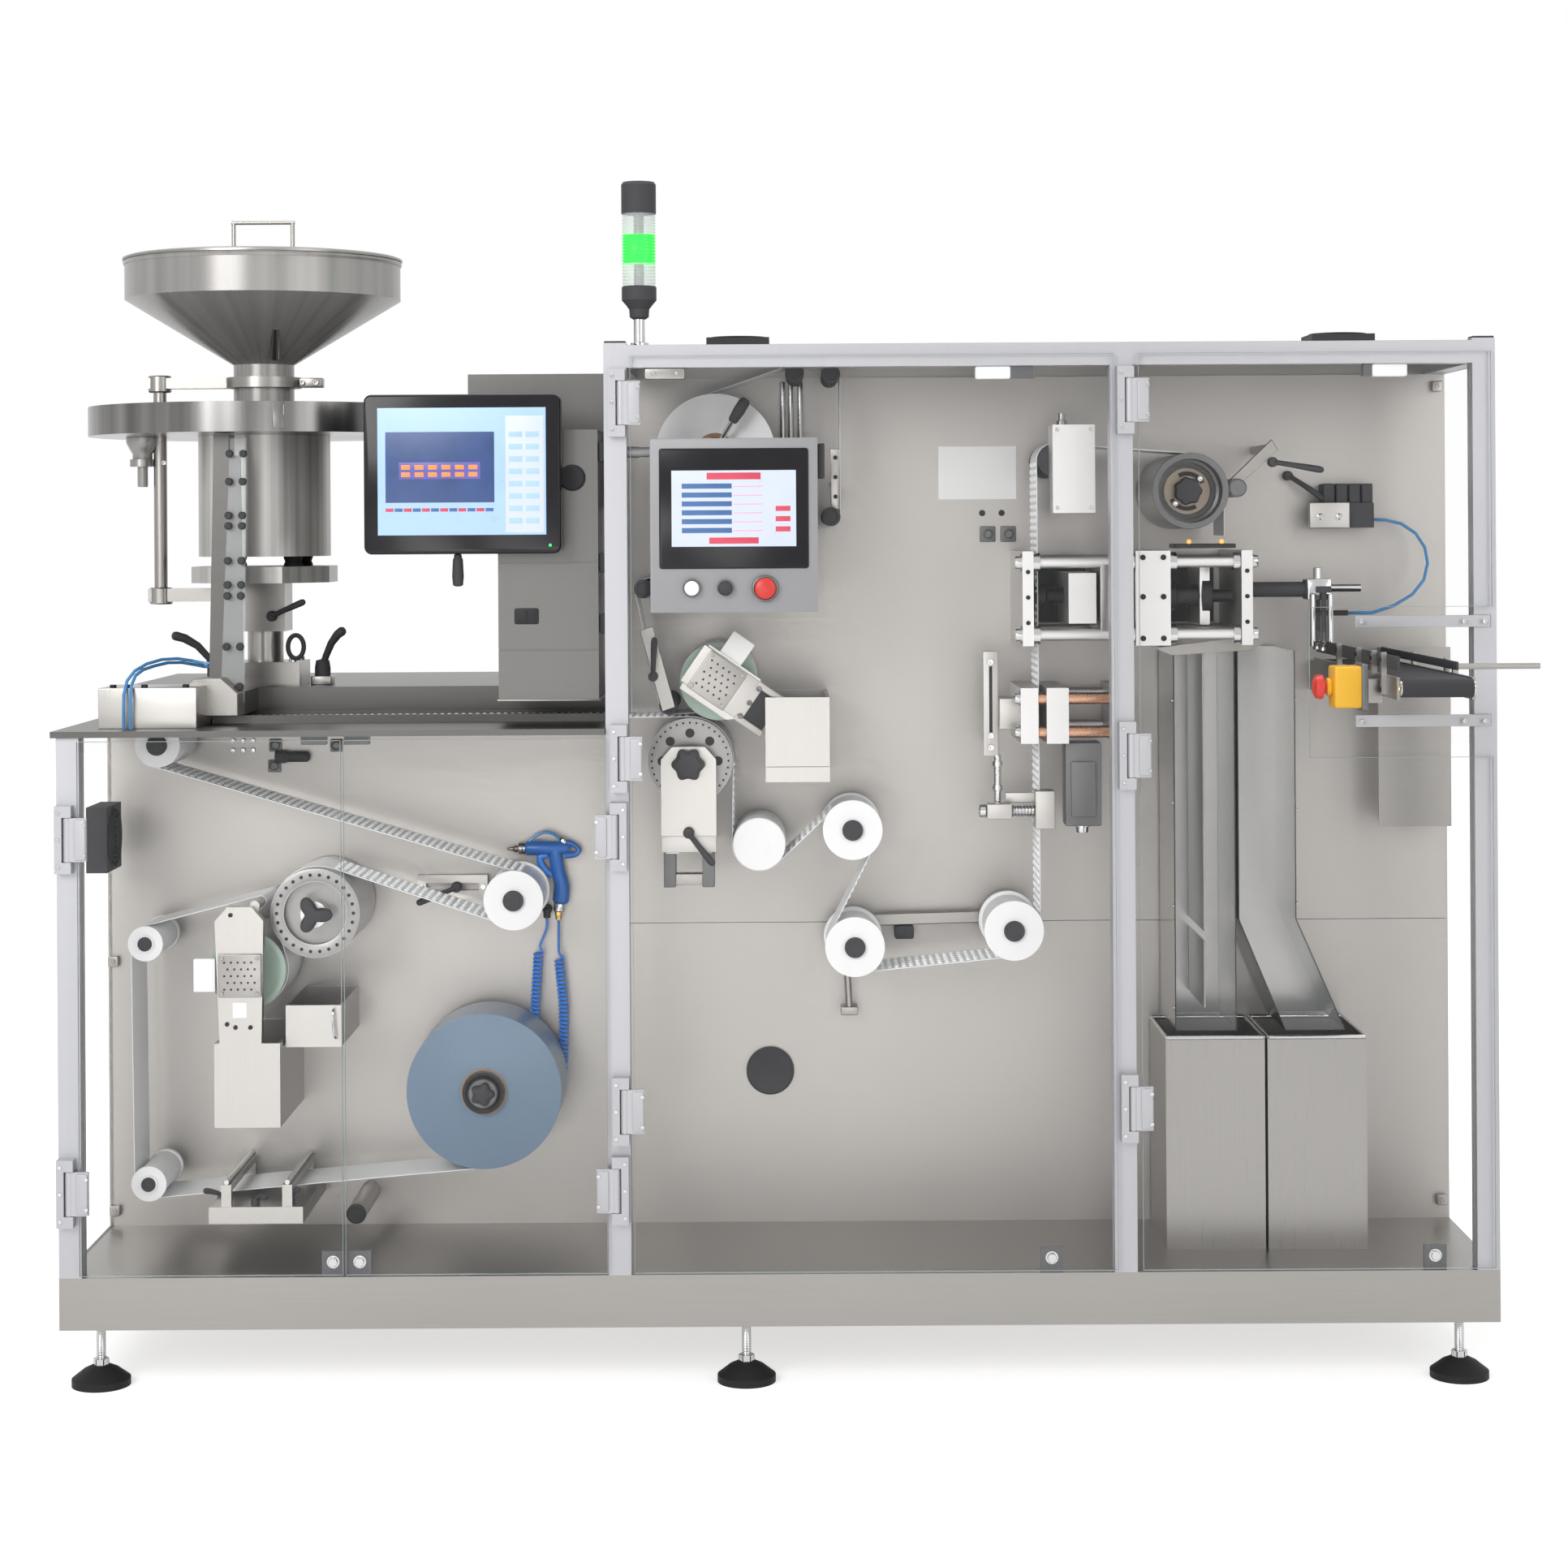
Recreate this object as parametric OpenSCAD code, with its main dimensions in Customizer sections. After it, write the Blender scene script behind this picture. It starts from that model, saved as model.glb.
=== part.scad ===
/* [Frame] */
// Length of the base frame
base_l = 2540; // [2400:1:2700]
// Depth of the base frame, front to back
base_d = 920; // [860:1:1000]
// Height of the base frame's underside above the floor
base_z = 112; // [100:1:130]
// Height of the base frame
base_h = 92; // [80:1:110]
// Width of a square frame post
post_w = 40; // [36:1:44]
// Height of the frame's top above the floor
frame_top = 1843; // [1810:1:1880]
// Left edge of the main post
main_post_x = 969; // [960:1:980]
// Left edge of the middle post
mid_post_x = 1861; // [1850:1:1870]
// Depth of the working bay in front of the mounting plates
bay_d = 400; // [390:1:420]
// Thickness of the mounting plates
plate_t = 10; // [8:1:14]
// Height of the seam between the lower and upper plates
seam_z = 772; // [740:1:800]
// Underside of the feeding table
table_z = 1157; // [1145:1:1165]
// Thickness of the feeding table
table_t = 11; // [8:1:14]
// Height of the raised bed over the table
bed_h = 57; // [50:1:64]
// Thickness of clear sheets
clear_t = 6; // [5:1:8]

/* [Feet] */
// Diameter of a foot pad
foot_d = 104; // [90:1:120]
// Height of a foot pad
foot_h = 36; // [28:1:44]
// Diameter of a foot stem
stem_d = 16; // [12:1:20]
// Distance of the feet from the base edges
foot_inset = 60; // [56:1:80]

/* [Doors] */
// Clear space between the posts and the door sheets
door_gap = 6; // [5:0.5:8]
// Distance of the hinge axes in front of the posts
hinge_out = 14; // [13:0.5:15]
// Height of one hinge
hinge_h = 119; // [100:1:130]
// Radius of a hinge pin
pin_r = 4.5; // [3.5:0.5:5]
// Running clearance at pins and shafts
run_gap = 0.3; // [0.2:0.05:0.5]

/* [Feeder] */
// Distance of the feeder's centre from the base's left end
feeder_x = 290; // [280:1:300]
// Distance of the feeder's centre behind the front
feeder_y = 470; // [460:1:480]
// Outer diameter of the hopper
hopper_d = 522; // [480:1:540]
// Wall thickness of the hopper
hopper_wall = 3; // [2:0.5:4]
// Height of the hopper's upper rim
hopper_top = 2035; // [2000:1:2060]
// Height of the hopper's straight wall
hopper_h = 74; // [60:1:90]
// Outer diameter of the hopper's neck
neck_d = 115; // [105:1:125]
// Radius of the vibrating bowl
bowl_r = 330; // [310:1:345]
// Height of the bowl's wall
bowl_h = 55; // [45:1:60]
// Underside of the vibrating bowl
bowl_z = 1700; // [1690:1:1715]
// Diameter of the vibrator drum
drum_d = 250; // [230:1:270]
// Diameter of the feeder's column
column_d = 68; // [60:1:76]

/* [Film] */
// Width of the film
web_w = 130; // [110:1:140]
// Thickness of the film as drawn
web_t = 1.4; // [1:0.1:2]
// Front edge of the film's lane
lane_y = 215; // [210:1:225]
// Space between the film and the rollers
web_gap = 0.5; // [0.4:0.1:0.8]
// Radius of the film reel
reel_r = 142; // [120:1:150]
// Radius of the lid foil reel
foil_r = 110; // [90:1:115]

/* [Rollers] */
// Radius of the forming drum
forming_r = 81; // [76:1:84]
// Radius of the heater roll
heat_r = 71; // [66:1:72]
// Radius of the sealing drum
seal_r = 77.5; // [74:0.5:78]
// Radius of the large guide rollers
guide_r = 48.5; // [44:0.5:50]
// Radius of the small guide rollers
small_r = 29; // [25:0.5:31]
// Radius of the index roller
index_r = 69; // [62:1:72]
// Radius of the roller shafts
shaft_r = 12; // [10:0.5:14]

/* [Outfeed] */
// Reach of the outfeed conveyor in front of the posts
conv_out = 420; // [380:1:460]
// Width of the conveyor belt
belt_w = 116; // [100:1:120]
// Height of the belt's upper face
belt_z = 1268; // [1260:1:1276]
// Height of the waste bins
bin_h = 387; // [360:1:400]
// Width of one waste bin
bin_w = 180; // [170:1:182]

/* [Hidden] */
$fn = 64;

base_top = base_z + base_h;
table_top_z = table_z + table_t;
bed_z = table_top_z + bed_h;
right_post_x = base_l - post_w;
plate_back = bay_d + plate_t;
eps = 0.5;
housing_seam = 1;

// Overall box, for an origin at the middle of the underside
conv_r = 15;
rod_over = 12;
x_min = feeder_x - bowl_r;
x_max = base_l + rod_over;
y_min = -conv_out - conv_r;
panel_t = 3;
bed_x = 238;
bed_end = 30;
rail_w = 12;
rail_h = 14;
bed_y = lane_y + web_w + 20;
y_max = base_d + panel_t;

// Door sheets and hinge axes
door_y0 = -door_gap - clear_t;
door_y1 = -door_gap;
hinge_y = -hinge_out;
knuckle_r = pin_r + 3;
leaf_w = 34;
leaf_t = 8;
ear_h = 20;
block_w = 13;
block_off = knuckle_r + 1.5;
sheet_off = 16;
left_axis = 23;
table_axis = main_post_x + 15;
main_axis = main_post_x + 31;
mid_axis = mid_post_x + 33;
door_split = 505;
door_seam = 5;
door_z0 = base_top + 6;
low_door_z1 = table_z - 7;
high_door_z1 = frame_top - 20;
low_hinges = [297, 919];
high_hinges = [436, 1056, 1681];

// Control panel and the opening for it in the middle door
panel_x = [1050, 1345];
panel_z = [1371, 1678];
panel_clear = 10;
panel_y = [-8, 62];
panel_bar_z = 1655;
panel_bar_r = 9;
button_z = 1410;
button_out = 12;
buttons = [[1121, 11], [1180, 11], [1250, 20]];

// Outfeed opening beside the right door
guard_x = base_l - 322;
guard_z = [1119, 1364];
guard_clear = 10;
guard_bar_h = 22;
guard_bar_in = [43, 27];

// Roller places as distance from the left end and height
inlet_at = [138, 1129];
inlet_r = table_top_z + 4 - inlet_at[1];
return_at = [787, 841];
upper_at = [114, 766];
lower_at = [118, 327];
forming_at = [427, 822];
heat_at = [300, 717];
reel_at = [730, 490];
seal_at = [1112, 1095];
seal_roll_at = [1165, 1240];
seal_pivot = seal_roll_at + [75, -42.5];
cool_at = [1237, 941];
exit_at = [1408, 966];
dancer_at = [1411, 752];
lift_at = [base_l - 838, 780];
foil_at = [1161, 1656];
index_at = [base_l - 517, 1582];
turn_at = [base_l - 759, 1640];
turn_r = 30;
heat_bar_at = [322, 840];
heat_bar_r = 9;
foil_bars = [[1307, 1803], [1373, 1800], [1372, 1539], [1028, 1409], [1073, 1196]];
foil_bar_r = 16;
roller_y = 195;
roller_end = bay_d - 44;
drum_end = bay_d - 8;
bore_floor = 10;

// Round tube along a route, as one body with a radius at each point
function unit(v) = v / norm(v);
function along(p, i) = unit(p[min(i + 1, len(p) - 1)] - p[max(i - 1, 0)]);
function across(t, last) = unit(last - (last * t) * t);
function normals(p, i, last) = i == len(p) ? []
    : let (n = across(along(p, i), last)) concat([n], normals(p, i + 1, n));
module tube(route, radii, sides) {
    n = normals(route, 0, [0.3, 1, 0.2]);
    last = len(route) - 1;
    points = [for (i = [0:last]) let (b = cross(along(route, i), n[i])) for (k = [0:sides - 1])
        let (a = 360 * k / sides) route[i] + radii[i] * (cos(a) * n[i] + sin(a) * b)];
    walls = [for (i = [0:last - 1], k = [0:sides - 1])
        let (a = i * sides + k, c = i * sides + (k + 1) % sides)
        each [[a, c + sides, c], [a, a + sides, c + sides]]];
    caps = [[for (k = [0:sides - 1]) k], [for (k = [sides - 1:-1:0]) last * sides + k]];
    polyhedron(points, concat(caps, walls));
}

module placed() {
    translate([-(x_min + x_max) / 2, -(y_min + y_max) / 2, 0]) children();
}

// Block between two corners
module block(x, y, z) {
    translate([x[0], y[0], z[0]]) cube([x[1] - x[0], y[1] - y[0], z[1] - z[0]]);
}

// Round bars along each axis
module bar_x(y, z, r, x) {
    translate([x[0], y, z]) rotate([0, 90, 0]) cylinder(r = r, h = x[1] - x[0]);
}

module bar_y(at, r, y) {
    translate([at[0], y[0], at[1]]) rotate([-90, 0, 0]) cylinder(r = r, h = y[1] - y[0]);
}

module bar_z(x, y, r, z) {
    translate([x, y, z[0]]) cylinder(r = r, h = z[1] - z[0]);
}

// Outline in the plane of the plates, carried from front to back
module upright(y) {
    translate([0, y[1], 0]) rotate([90, 0, 0]) linear_extrude(y[1] - y[0]) children();
}

// Roller with rims, a hub and a dished front, on a blind bore that opens to the back
module roller(at, r, y, rim = 6, rim_w = 10, hub_r = 17, hub_h = 4, dish = [0, 0]) {
    long = y[1] - y[0];
    seat = dish[1] > 0 ? [[hub_r, dish[1]], [dish[0], dish[1]], [dish[0], 0]] : [[hub_r, 0]];
    difference() {
        translate([at[0], y[0], at[1]]) rotate([-90, 0, 0]) rotate_extrude()
            polygon(concat([[0, -hub_h], [hub_r, -hub_h]], seat, [[r + rim, 0], [r + rim, rim_w],
                [r, rim_w], [r, long - rim_w], [r + rim, long - rim_w], [r + rim, long], [0, long]]));
        bar_y(at, shaft_r + run_gap, [y[0] + max(rim_w, dish[1] + bore_floor), y[1] + eps]);
    }
}

// Shaft that stands on the plate and ends inside a roller's bore
module shaft(at, y0) {
    bar_y(at, shaft_r, [y0, bay_d]);
}

// Film path: tangent direction between two wheels, each [x, z, radius, turn]
function heading(a, b) = let (dx = b[0] - a[0], dz = b[1] - a[1])
    atan2(dz, dx) + asin((a[3] * a[2] - b[3] * b[2]) / norm([dx, dz]));
function side(t) = [sin(t), -cos(t)];
function turned(from, to, turn) = turn > 0
    ? (to < from ? turned(from, to + 360, turn) : to - from)
    : (to > from ? turned(from, to - 360, turn) : to - from);
function wheel_arc(w, from, to) = let (sweep = turned(from, to, w[3]), n = max(1, ceil(abs(sweep) / 6)))
    [for (i = [0:n]) let (t = from + sweep * i / n) concat([w[0], w[1]] + w[3] * w[2] * side(t), [t])];
function film_line(p) = let (n = len(p), h = [for (i = [0:n - 2]) heading(p[i], p[i + 1])])
    concat([[p[0][0], p[0][1], h[0]]],
        [for (i = [1:n - 2]) each wheel_arc(p[i], h[i - 1], h[i])],
        [[p[n - 1][0], p[n - 1][1], h[n - 2]]]);
function film_side(line, off) = [for (q = line) [q[0], q[1]] + off * side(q[2])];
module film(path, thick) {
    line = film_line(path);
    near = film_side(line, thick / 2);
    far = film_side(line, -thick / 2);
    upright([lane_y, lane_y + web_w])
        polygon(concat(near, [for (i = [len(far) - 1:-1:0]) far[i]]));
}
// Wheel of the film path at a roller
function wheel(at, r, turn) = [at[0], at[1], r + web_gap + web_t / 2, turn];

module base_frame() {
    color("silver") block([0, base_l], [0, base_d], [base_z, base_top]);
}

module levelling_feet() {
    nut_r = 14;
    nut_h = 12;
    color("dimgray")
        for (x = [foot_inset, base_l / 2 - 60, base_l - foot_inset], y = [foot_inset, base_d - foot_inset])
            translate([x, y, 0]) {
                rotate_extrude() polygon([[0, 0], [foot_d / 2, 0], [foot_d / 2, foot_h * 0.35],
                    [foot_d * 0.3, foot_h * 0.8], [stem_d, foot_h], [0, foot_h]]);
                translate([0, 0, foot_h - 1]) cylinder(d = stem_d, h = base_z - foot_h + 1);
                translate([0, 0, base_z - nut_h]) cylinder(r = nut_r, h = nut_h, $fn = 6);
                translate([0, 0, foot_h - 1]) cylinder(r = nut_r, h = nut_h, $fn = 6);
            }
}

module back_plates() {
    color("lightgray") {
        block([0, main_post_x - housing_seam], [bay_d, plate_back], [base_top, table_z]);
        block([main_post_x, base_l], [bay_d, plate_back], [base_top, seam_z - housing_seam]);
        block([main_post_x, base_l], [bay_d, plate_back], [seam_z, frame_top - post_w]);
    }
}

module rear_housing() {
    color("silver") {
        block([0, main_post_x - housing_seam], [plate_back, base_d], [base_top, table_z]);
        block([main_post_x, base_l], [plate_back, base_d], [base_top, frame_top]);
    }
}

module cover_panels() {
    edge = 30;
    gap = 12;
    n = 4;
    w = (base_l - main_post_x - 2 * edge - (n - 1) * gap) / n;
    low_w = (main_post_x - 2 * edge - gap) / 2;
    color("gainsboro") {
        for (i = [0:n - 1])
            translate([main_post_x + edge + i * (w + gap), base_d, base_top + edge])
                cube([w, panel_t, frame_top - base_top - 2 * edge]);
        for (i = [0:1])
            translate([edge + i * (low_w + gap), base_d, base_top + edge])
                cube([low_w, panel_t, table_z - base_top - 2 * edge]);
        block([main_post_x + 4, base_l - 4], [post_w + 4, base_d - 4], [frame_top, frame_top + panel_t]);
    }
}

// Square post with a groove along each side face
module post(x, z) {
    groove_w = 8;
    groove_d = 6;
    translate([x, 0, z[0]]) linear_extrude(z[1] - z[0]) difference() {
        square(post_w);
        for (gx = [-eps, post_w - groove_d])
            translate([gx, (post_w - groove_w) / 2]) square([groove_d + eps, groove_w]);
    }
}

module frame_posts() {
    cap = 4;
    color("lightgray") {
        post(0, [base_top, table_z]);
        post(main_post_x, [base_top, frame_top + cap]);
        post(mid_post_x, [base_top, frame_top - post_w]);
        post(right_post_x, [base_top, frame_top + cap]);
    }
}

module top_rails() {
    z = [frame_top - post_w, frame_top];
    color("lightgray") {
        block([main_post_x + post_w, right_post_x], [0, post_w], z);
        block([main_post_x, main_post_x + post_w], [post_w, plate_back], z);
        block([right_post_x, base_l], [post_w, plate_back], z);
    }
}

// Square fan with a guard ring, standing on z with its axis along z
module fan(w, h) {
    blade_r = w * 0.46;
    difference() {
        translate([-w / 2, -w / 2, 0]) cube([w, w, h]);
        translate([0, 0, h * 0.3]) cylinder(r = blade_r, h = h);
    }
    translate([0, 0, h * 0.3 - 1]) cylinder(r = w * 0.2, h = h * 0.6);
    for (a = [0:72:288]) rotate(a) translate([w * 0.18, -6, h * 0.3 - 1]) cube([w * 0.3, 12, h * 0.4]);
}

fan_w = 120;
fan_h = 38;
fan_x = [1200, base_l - 183];
fan_y = 500;
side_fan = [250, 956];
module cooling_fans() {
    color("black") {
        for (x = fan_x) translate([x, fan_y, frame_top + panel_t]) fan(fan_w, fan_h);
        translate([guard_in + clear_t, side_fan[0], side_fan[1]]) rotate([0, 90, 0]) fan(fan_w, fan_h);
    }
}

guard_in = 2;
slot_side = 40;
slot_z = [-90, 60];
module clear_guards() {
    x = [guard_x, base_l - guard_clear];
    bars = [guard_z[0] + guard_bar_in[0], guard_z[1] - guard_bar_in[1]];
    color("lightcyan", 0.3) {
        block([guard_in, guard_in + clear_t], [post_w, bay_d], [base_top, table_z]);
        block([base_l - guard_in - clear_t, base_l - guard_in], [post_w, bay_d],
            [base_top, frame_top - post_w]);
        difference() {
            block(x, [door_y0, door_y1], guard_z);
            block([conv_x[0] - slot_side, conv_x[1] + slot_side], [door_y0 - eps, door_y1 + eps],
                [belt_z + slot_z[0], belt_z + slot_z[1]]);
        }
    }
    color("silver") for (z = bars)
        block([conv_x[0] + guard_clear, x[1]], [door_y1, 0], [z, z + guard_bar_h]);
}

valve_box_x = [62, 236];
valve_box_y = [60, 190];
valve_box_h = 72;
module feeding_table() {
    end = main_post_x - housing_seam;
    color("silver") {
        difference() {
            block([-8, end], [-10, base_d], [table_z, table_top_z]);
            block([inlet_at[0] - inlet_r - 20, inlet_at[0] + inlet_r + 12],
                [roller_y - 8, bay_d - eps], [table_z - eps, table_top_z + eps]);
        }
        block(valve_box_x, valve_box_y, [table_top_z - eps, table_top_z + valve_box_h]);
        block([bed_x, end], [bed_y, base_d], [table_top_z - eps, bed_z]);
        block([bed_end, bed_x + eps], [plate_back + 2, base_d], [table_top_z - eps, bed_z]);
        for (y = [lane_y - rail_w - 4, lane_y + web_w + 4])
            block([bed_x, end], [y, y + rail_w], [table_top_z - eps, table_top_z + rail_h]);
    }
}

// Hinge fixed to a post: block, two ears and the pin; door to the right for dir 1
module hinge_block(axis, z, dir) {
    translate([axis, 0, z]) {
        x0 = dir > 0 ? -block_off - block_w : block_off;
        ear_x0 = dir > 0 ? -block_off - block_w : -knuckle_r;
        ear_w = block_off + block_w + knuckle_r;
        y = [hinge_y - 8, 0];
        block([x0, x0 + block_w], y, [0, hinge_h]);
        for (ez = [0, hinge_h - ear_h]) block([ear_x0, ear_x0 + ear_w], y, [ez, ez + ear_h]);
        translate([0, hinge_y, ear_h - 1]) cylinder(r = pin_r, h = hinge_h - 2 * ear_h + 2);
    }
}

module hinge_blocks() {
    color("whitesmoke") {
        for (z = low_hinges) {
            hinge_block(left_axis, z, 1);
            hinge_block(table_axis, z, -1);
        }
        for (z = high_hinges) {
            hinge_block(main_axis, z, 1);
            hinge_block(mid_axis, z, 1);
        }
    }
}

catch_w = 40;
catch_h = 45;
latch_w = 60;
latch_h = 22;
module door_catches() {
    low = [door_split - 42, door_split + 5, mid_post_x - 131, base_l - 134];
    high = [mid_post_x - 193, base_l - 230];
    rail_z = frame_top - post_w;
    color("dimgray") {
        for (x = low) block([x, x + catch_w], [3, 9], [base_top, base_top + catch_h]);
        for (x = high) block([x, x + latch_w], [8, 32], [rail_z - latch_h, rail_z]);
        for (x = [door_split - 75, door_split + 1])
            block([x, x + catch_w + 4], [10, 34], [table_z - 16, table_z]);
    }
}

// Moving half of a hinge: knuckle round the pin and the leaf on the sheet
module hinge_leaf(axis, z, dir) {
    gap = 1;
    h = hinge_h - 2 * ear_h - 2 * gap;
    x0 = dir > 0 ? 0 : -leaf_w;
    translate([axis, 0, z + ear_h + gap]) difference() {
        union() {
            translate([0, hinge_y, 0]) cylinder(r = knuckle_r, h = h);
            block([x0, x0 + leaf_w], [door_y0 - leaf_t, door_y0], [0, h]);
        }
        translate([0, hinge_y, -eps]) cylinder(r = pin_r + run_gap, h = h + 2 * eps);
    }
}

module left_door() {
    color("lightcyan", 0.3) {
        block([left_axis + sheet_off, door_split - door_seam / 2], [door_y0, door_y1], [door_z0, low_door_z1]);
        for (z = low_hinges) hinge_leaf(left_axis, z, 1);
    }
}

module table_door() {
    color("lightcyan", 0.3) {
        block([door_split + door_seam / 2, table_axis - sheet_off], [door_y0, door_y1], [door_z0, low_door_z1]);
        for (z = low_hinges) hinge_leaf(table_axis, z, -1);
    }
}

module middle_door() {
    color("lightcyan", 0.3) {
        difference() {
            block([main_axis + sheet_off, mid_axis - block_off - block_w - 6], [door_y0, door_y1],
                [door_z0, high_door_z1]);
            block([panel_x[0] - panel_clear, panel_x[1] + panel_clear], [door_y0 - eps, door_y1 + eps],
                [panel_z[0] - panel_clear, panel_z[1] + panel_clear]);
        }
        for (z = high_hinges) hinge_leaf(main_axis, z, 1);
    }
}

module right_door() {
    color("lightcyan", 0.3) {
        difference() {
            block([mid_axis + sheet_off, base_l - 10], [door_y0, door_y1], [door_z0, high_door_z1]);
            block([guard_x - guard_clear, base_l], [door_y0 - eps, door_y1 + eps],
                [guard_z[0] - guard_clear, guard_z[1] + guard_clear]);
        }
        for (z = high_hinges) hinge_leaf(mid_axis, z, 1);
    }
}

cone_z = hopper_top - hopper_h;
neck_z = cone_z - 124;
neck_end = bowl_z + 64;
module hopper() {
    r = hopper_d / 2;
    w = hopper_wall;
    n = neck_d / 2;
    color("silver") translate([feeder_x, feeder_y, 0]) rotate_extrude()
        polygon([[r - w, hopper_top], [r, hopper_top], [r, cone_z], [n, neck_z], [n, neck_end],
            [n - w, neck_end], [n - w, neck_z + w / 2], [r - w, cone_z + w / 2]]);
}

module hopper_lid() {
    lid_r = hopper_d / 2 + 4;
    grip_w = 121;
    grip_r = 4;
    grip_h = 76;
    color("silver") translate([feeder_x, feeder_y, hopper_top]) {
        rotate_extrude() polygon([[0, 0], [lid_r, 0], [lid_r, 4], [lid_r - 8, 7], [0, 12]]);
        for (s = [-1, 1]) translate([s * (grip_w / 2 - grip_r), 0, 8]) cylinder(r = grip_r, h = grip_h - 8);
        translate([-grip_w / 2, 0, grip_h]) rotate([0, 90, 0]) cylinder(r = grip_r, h = grip_w);
    }
}

stand_x = 90;
stand_r = 12.5;
arm_z = 1803;
arm_t = 20;
low_arm_z = 1385;
low_arm_t = 25;
arm_w = 32;
column_clamp_z = 1328;
column_foot = [150, 130, 45];
module feeder_stand() {
    ring_r = neck_d / 2 + 14;
    clamp_d = 90;
    y = [feeder_y - arm_w / 2, feeder_y + arm_w / 2];
    color("lightgray") {
        bar_z(stand_x, feeder_y, stand_r, [low_arm_z, arm_z + arm_t / 2 + 2]);
        difference() {
            union() {
                block([stand_x - 20, feeder_x], y, [arm_z - arm_t / 2, arm_z + arm_t / 2]);
                bar_z(feeder_x, feeder_y, ring_r, [arm_z - arm_t / 2, arm_z + arm_t / 2]);
            }
            bar_z(feeder_x, feeder_y, neck_d / 2 + run_gap, [arm_z - arm_t, arm_z + arm_t]);
        }
        block([stand_x - 22, feeder_x], y, [low_arm_z, low_arm_z + low_arm_t]);
        block([feeder_x - clamp_w / 2, feeder_x + clamp_w / 2],
            [feeder_y - clamp_d / 2, feeder_y + clamp_d / 2], [column_clamp_z, seat_z]);
        bar_z(feeder_x, feeder_y, column_d / 2, [bed_z, seat_z - 10]);
        translate([feeder_x - column_foot[0] / 2, feeder_y - column_foot[1] / 2, bed_z]) cube(column_foot);
    }
}

module feeder_bowl() {
    wall = 4;
    floor_t = 6;
    gate_w = 20;
    color("silver") difference() {
        translate([feeder_x, feeder_y, bowl_z]) rotate_extrude()
            polygon([[0, 0], [bowl_r, 0], [bowl_r, bowl_h], [bowl_r - wall, bowl_h],
                [bowl_r - wall, floor_t], [0, floor_t]]);
        translate([feeder_x + 70, feeder_y - bowl_r, bowl_z + floor_t]) cube([gate_w, 120, bowl_h]);
        bar_z(stand_x, feeder_y, stand_r + 5, [bowl_z - eps, bowl_z + bowl_h]);
    }
}

drum_z0 = 1471;
mount_h = 19;
seat_t = 31;
seat_z = drum_z0 - mount_h - seat_t;
clamp_w = 89;
module vibrator_drum() {
    seat_w = 262;
    color("silver") translate([feeder_x, feeder_y, 0]) {
        translate([0, 0, drum_z0]) cylinder(d = drum_d, h = bowl_z - drum_z0);
        for (a = [45:90:315]) rotate(a) translate([drum_d * 0.36, 0, drum_z0 - mount_h - 1])
            cylinder(r = 14, h = mount_h + 2);
        translate([0, 0, seat_z]) rotate(22.5) cylinder(d = seat_w / cos(22.5), h = seat_t, $fn = 8);
    }
}

chute_off = 62;
chute_w = 56;
module feed_chute() {
    x = feeder_x - chute_off;
    y = [lane_y + 4, lane_y + 4 + chute_w];
    top = bowl_z - 2;
    low = bed_z - 30;
    color("lightgray") {
        upright(y) polygon([[x, low], [x + 30, low], [x + 40, top], [x + 12, top]]);
        upright([y[0] - 8, y[0]]) polygon([[x + 24, low + 10], [x + 66, low + 10],
            [x + 62, top - 40], [x + 30, top - 40]]);
        block([x - 60, x + 66], [y[0], bed_y], [table_top_z + rail_h + 1, bed_z]);
    }
}

hood_x = [769, 950];
hood_z = [1209, 1699];
hood_lead = 85;
hood_seams = [1300, 1458];
seam_w = 4;
seam_d = 3;
cabinet_x = 692;
cabinet_y = 700;
cabinet_z = [1560, 1812];
module inspection_hood() {
    y = [lane_y - hood_lead, bed_y];
    color("silver") {
        difference() {
            block(hood_x, y, hood_z);
            for (z = hood_seams)
                block([hood_x[0] - eps, hood_x[1] + eps], [y[0] - eps, y[0] + seam_d], [z, z + seam_w]);
        }
        block([cabinet_x, main_post_x], [bed_y, cabinet_y], cabinet_z);
    }
}

monitor_x = [537, 888];
monitor_y = [60, 100];
monitor_z = [1476, 1761];
monitor_arm = [844, 1612];
monitor_arm_r = 18;
tilt_rod = [702, 80];
tilt_rod_r = 9;
tilt_rod_h = 58;
module monitor() {
    color("black") {
        block(monitor_x, monitor_y, monitor_z);
        bar_y(monitor_arm, monitor_arm_r, [monitor_y[1], lane_y - hood_lead]);
        bar_z(tilt_rod[0], tilt_rod[1], tilt_rod_r, [monitor_z[0] - tilt_rod_h, monitor_z[0]]);
    }
}

module control_panel() {
    color("darkgray") {
        block(panel_x, panel_y, panel_z);
        bar_x(panel_y[1] / 2, panel_bar_z, panel_bar_r, [main_post_x + post_w, panel_x[0]]);
        for (b = buttons) bar_y([b[0], button_z], b[1], [panel_y[0] - button_out, panel_y[0]]);
    }
}

light_at = [61, 60];
light_r = 31;
light_h = 221;
light_neck = [10, 60];
module stack_light() {
    color("dimgray") translate([main_post_x + light_at[0], light_at[1], frame_top + panel_t]) {
        cylinder(r = light_neck[0], h = light_neck[1]);
        translate([0, 0, light_neck[1] - 8]) cylinder(r1 = light_r * 0.6, r2 = light_r, h = 20);
        translate([0, 0, light_neck[1] + 10]) cylinder(r = light_r, h = light_h);
    }
}

module roller_shafts() {
    reach = 30;
    color("silver") {
        for (at = [inlet_at, return_at, upper_at, lower_at, forming_at, heat_at, seal_at, seal_roll_at,
            cool_at, exit_at, dancer_at, lift_at, index_at]) shaft(at, roller_y + reach);
        for (at = [reel_at, foil_at]) shaft(at, lane_y + reach);
    }
}

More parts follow.
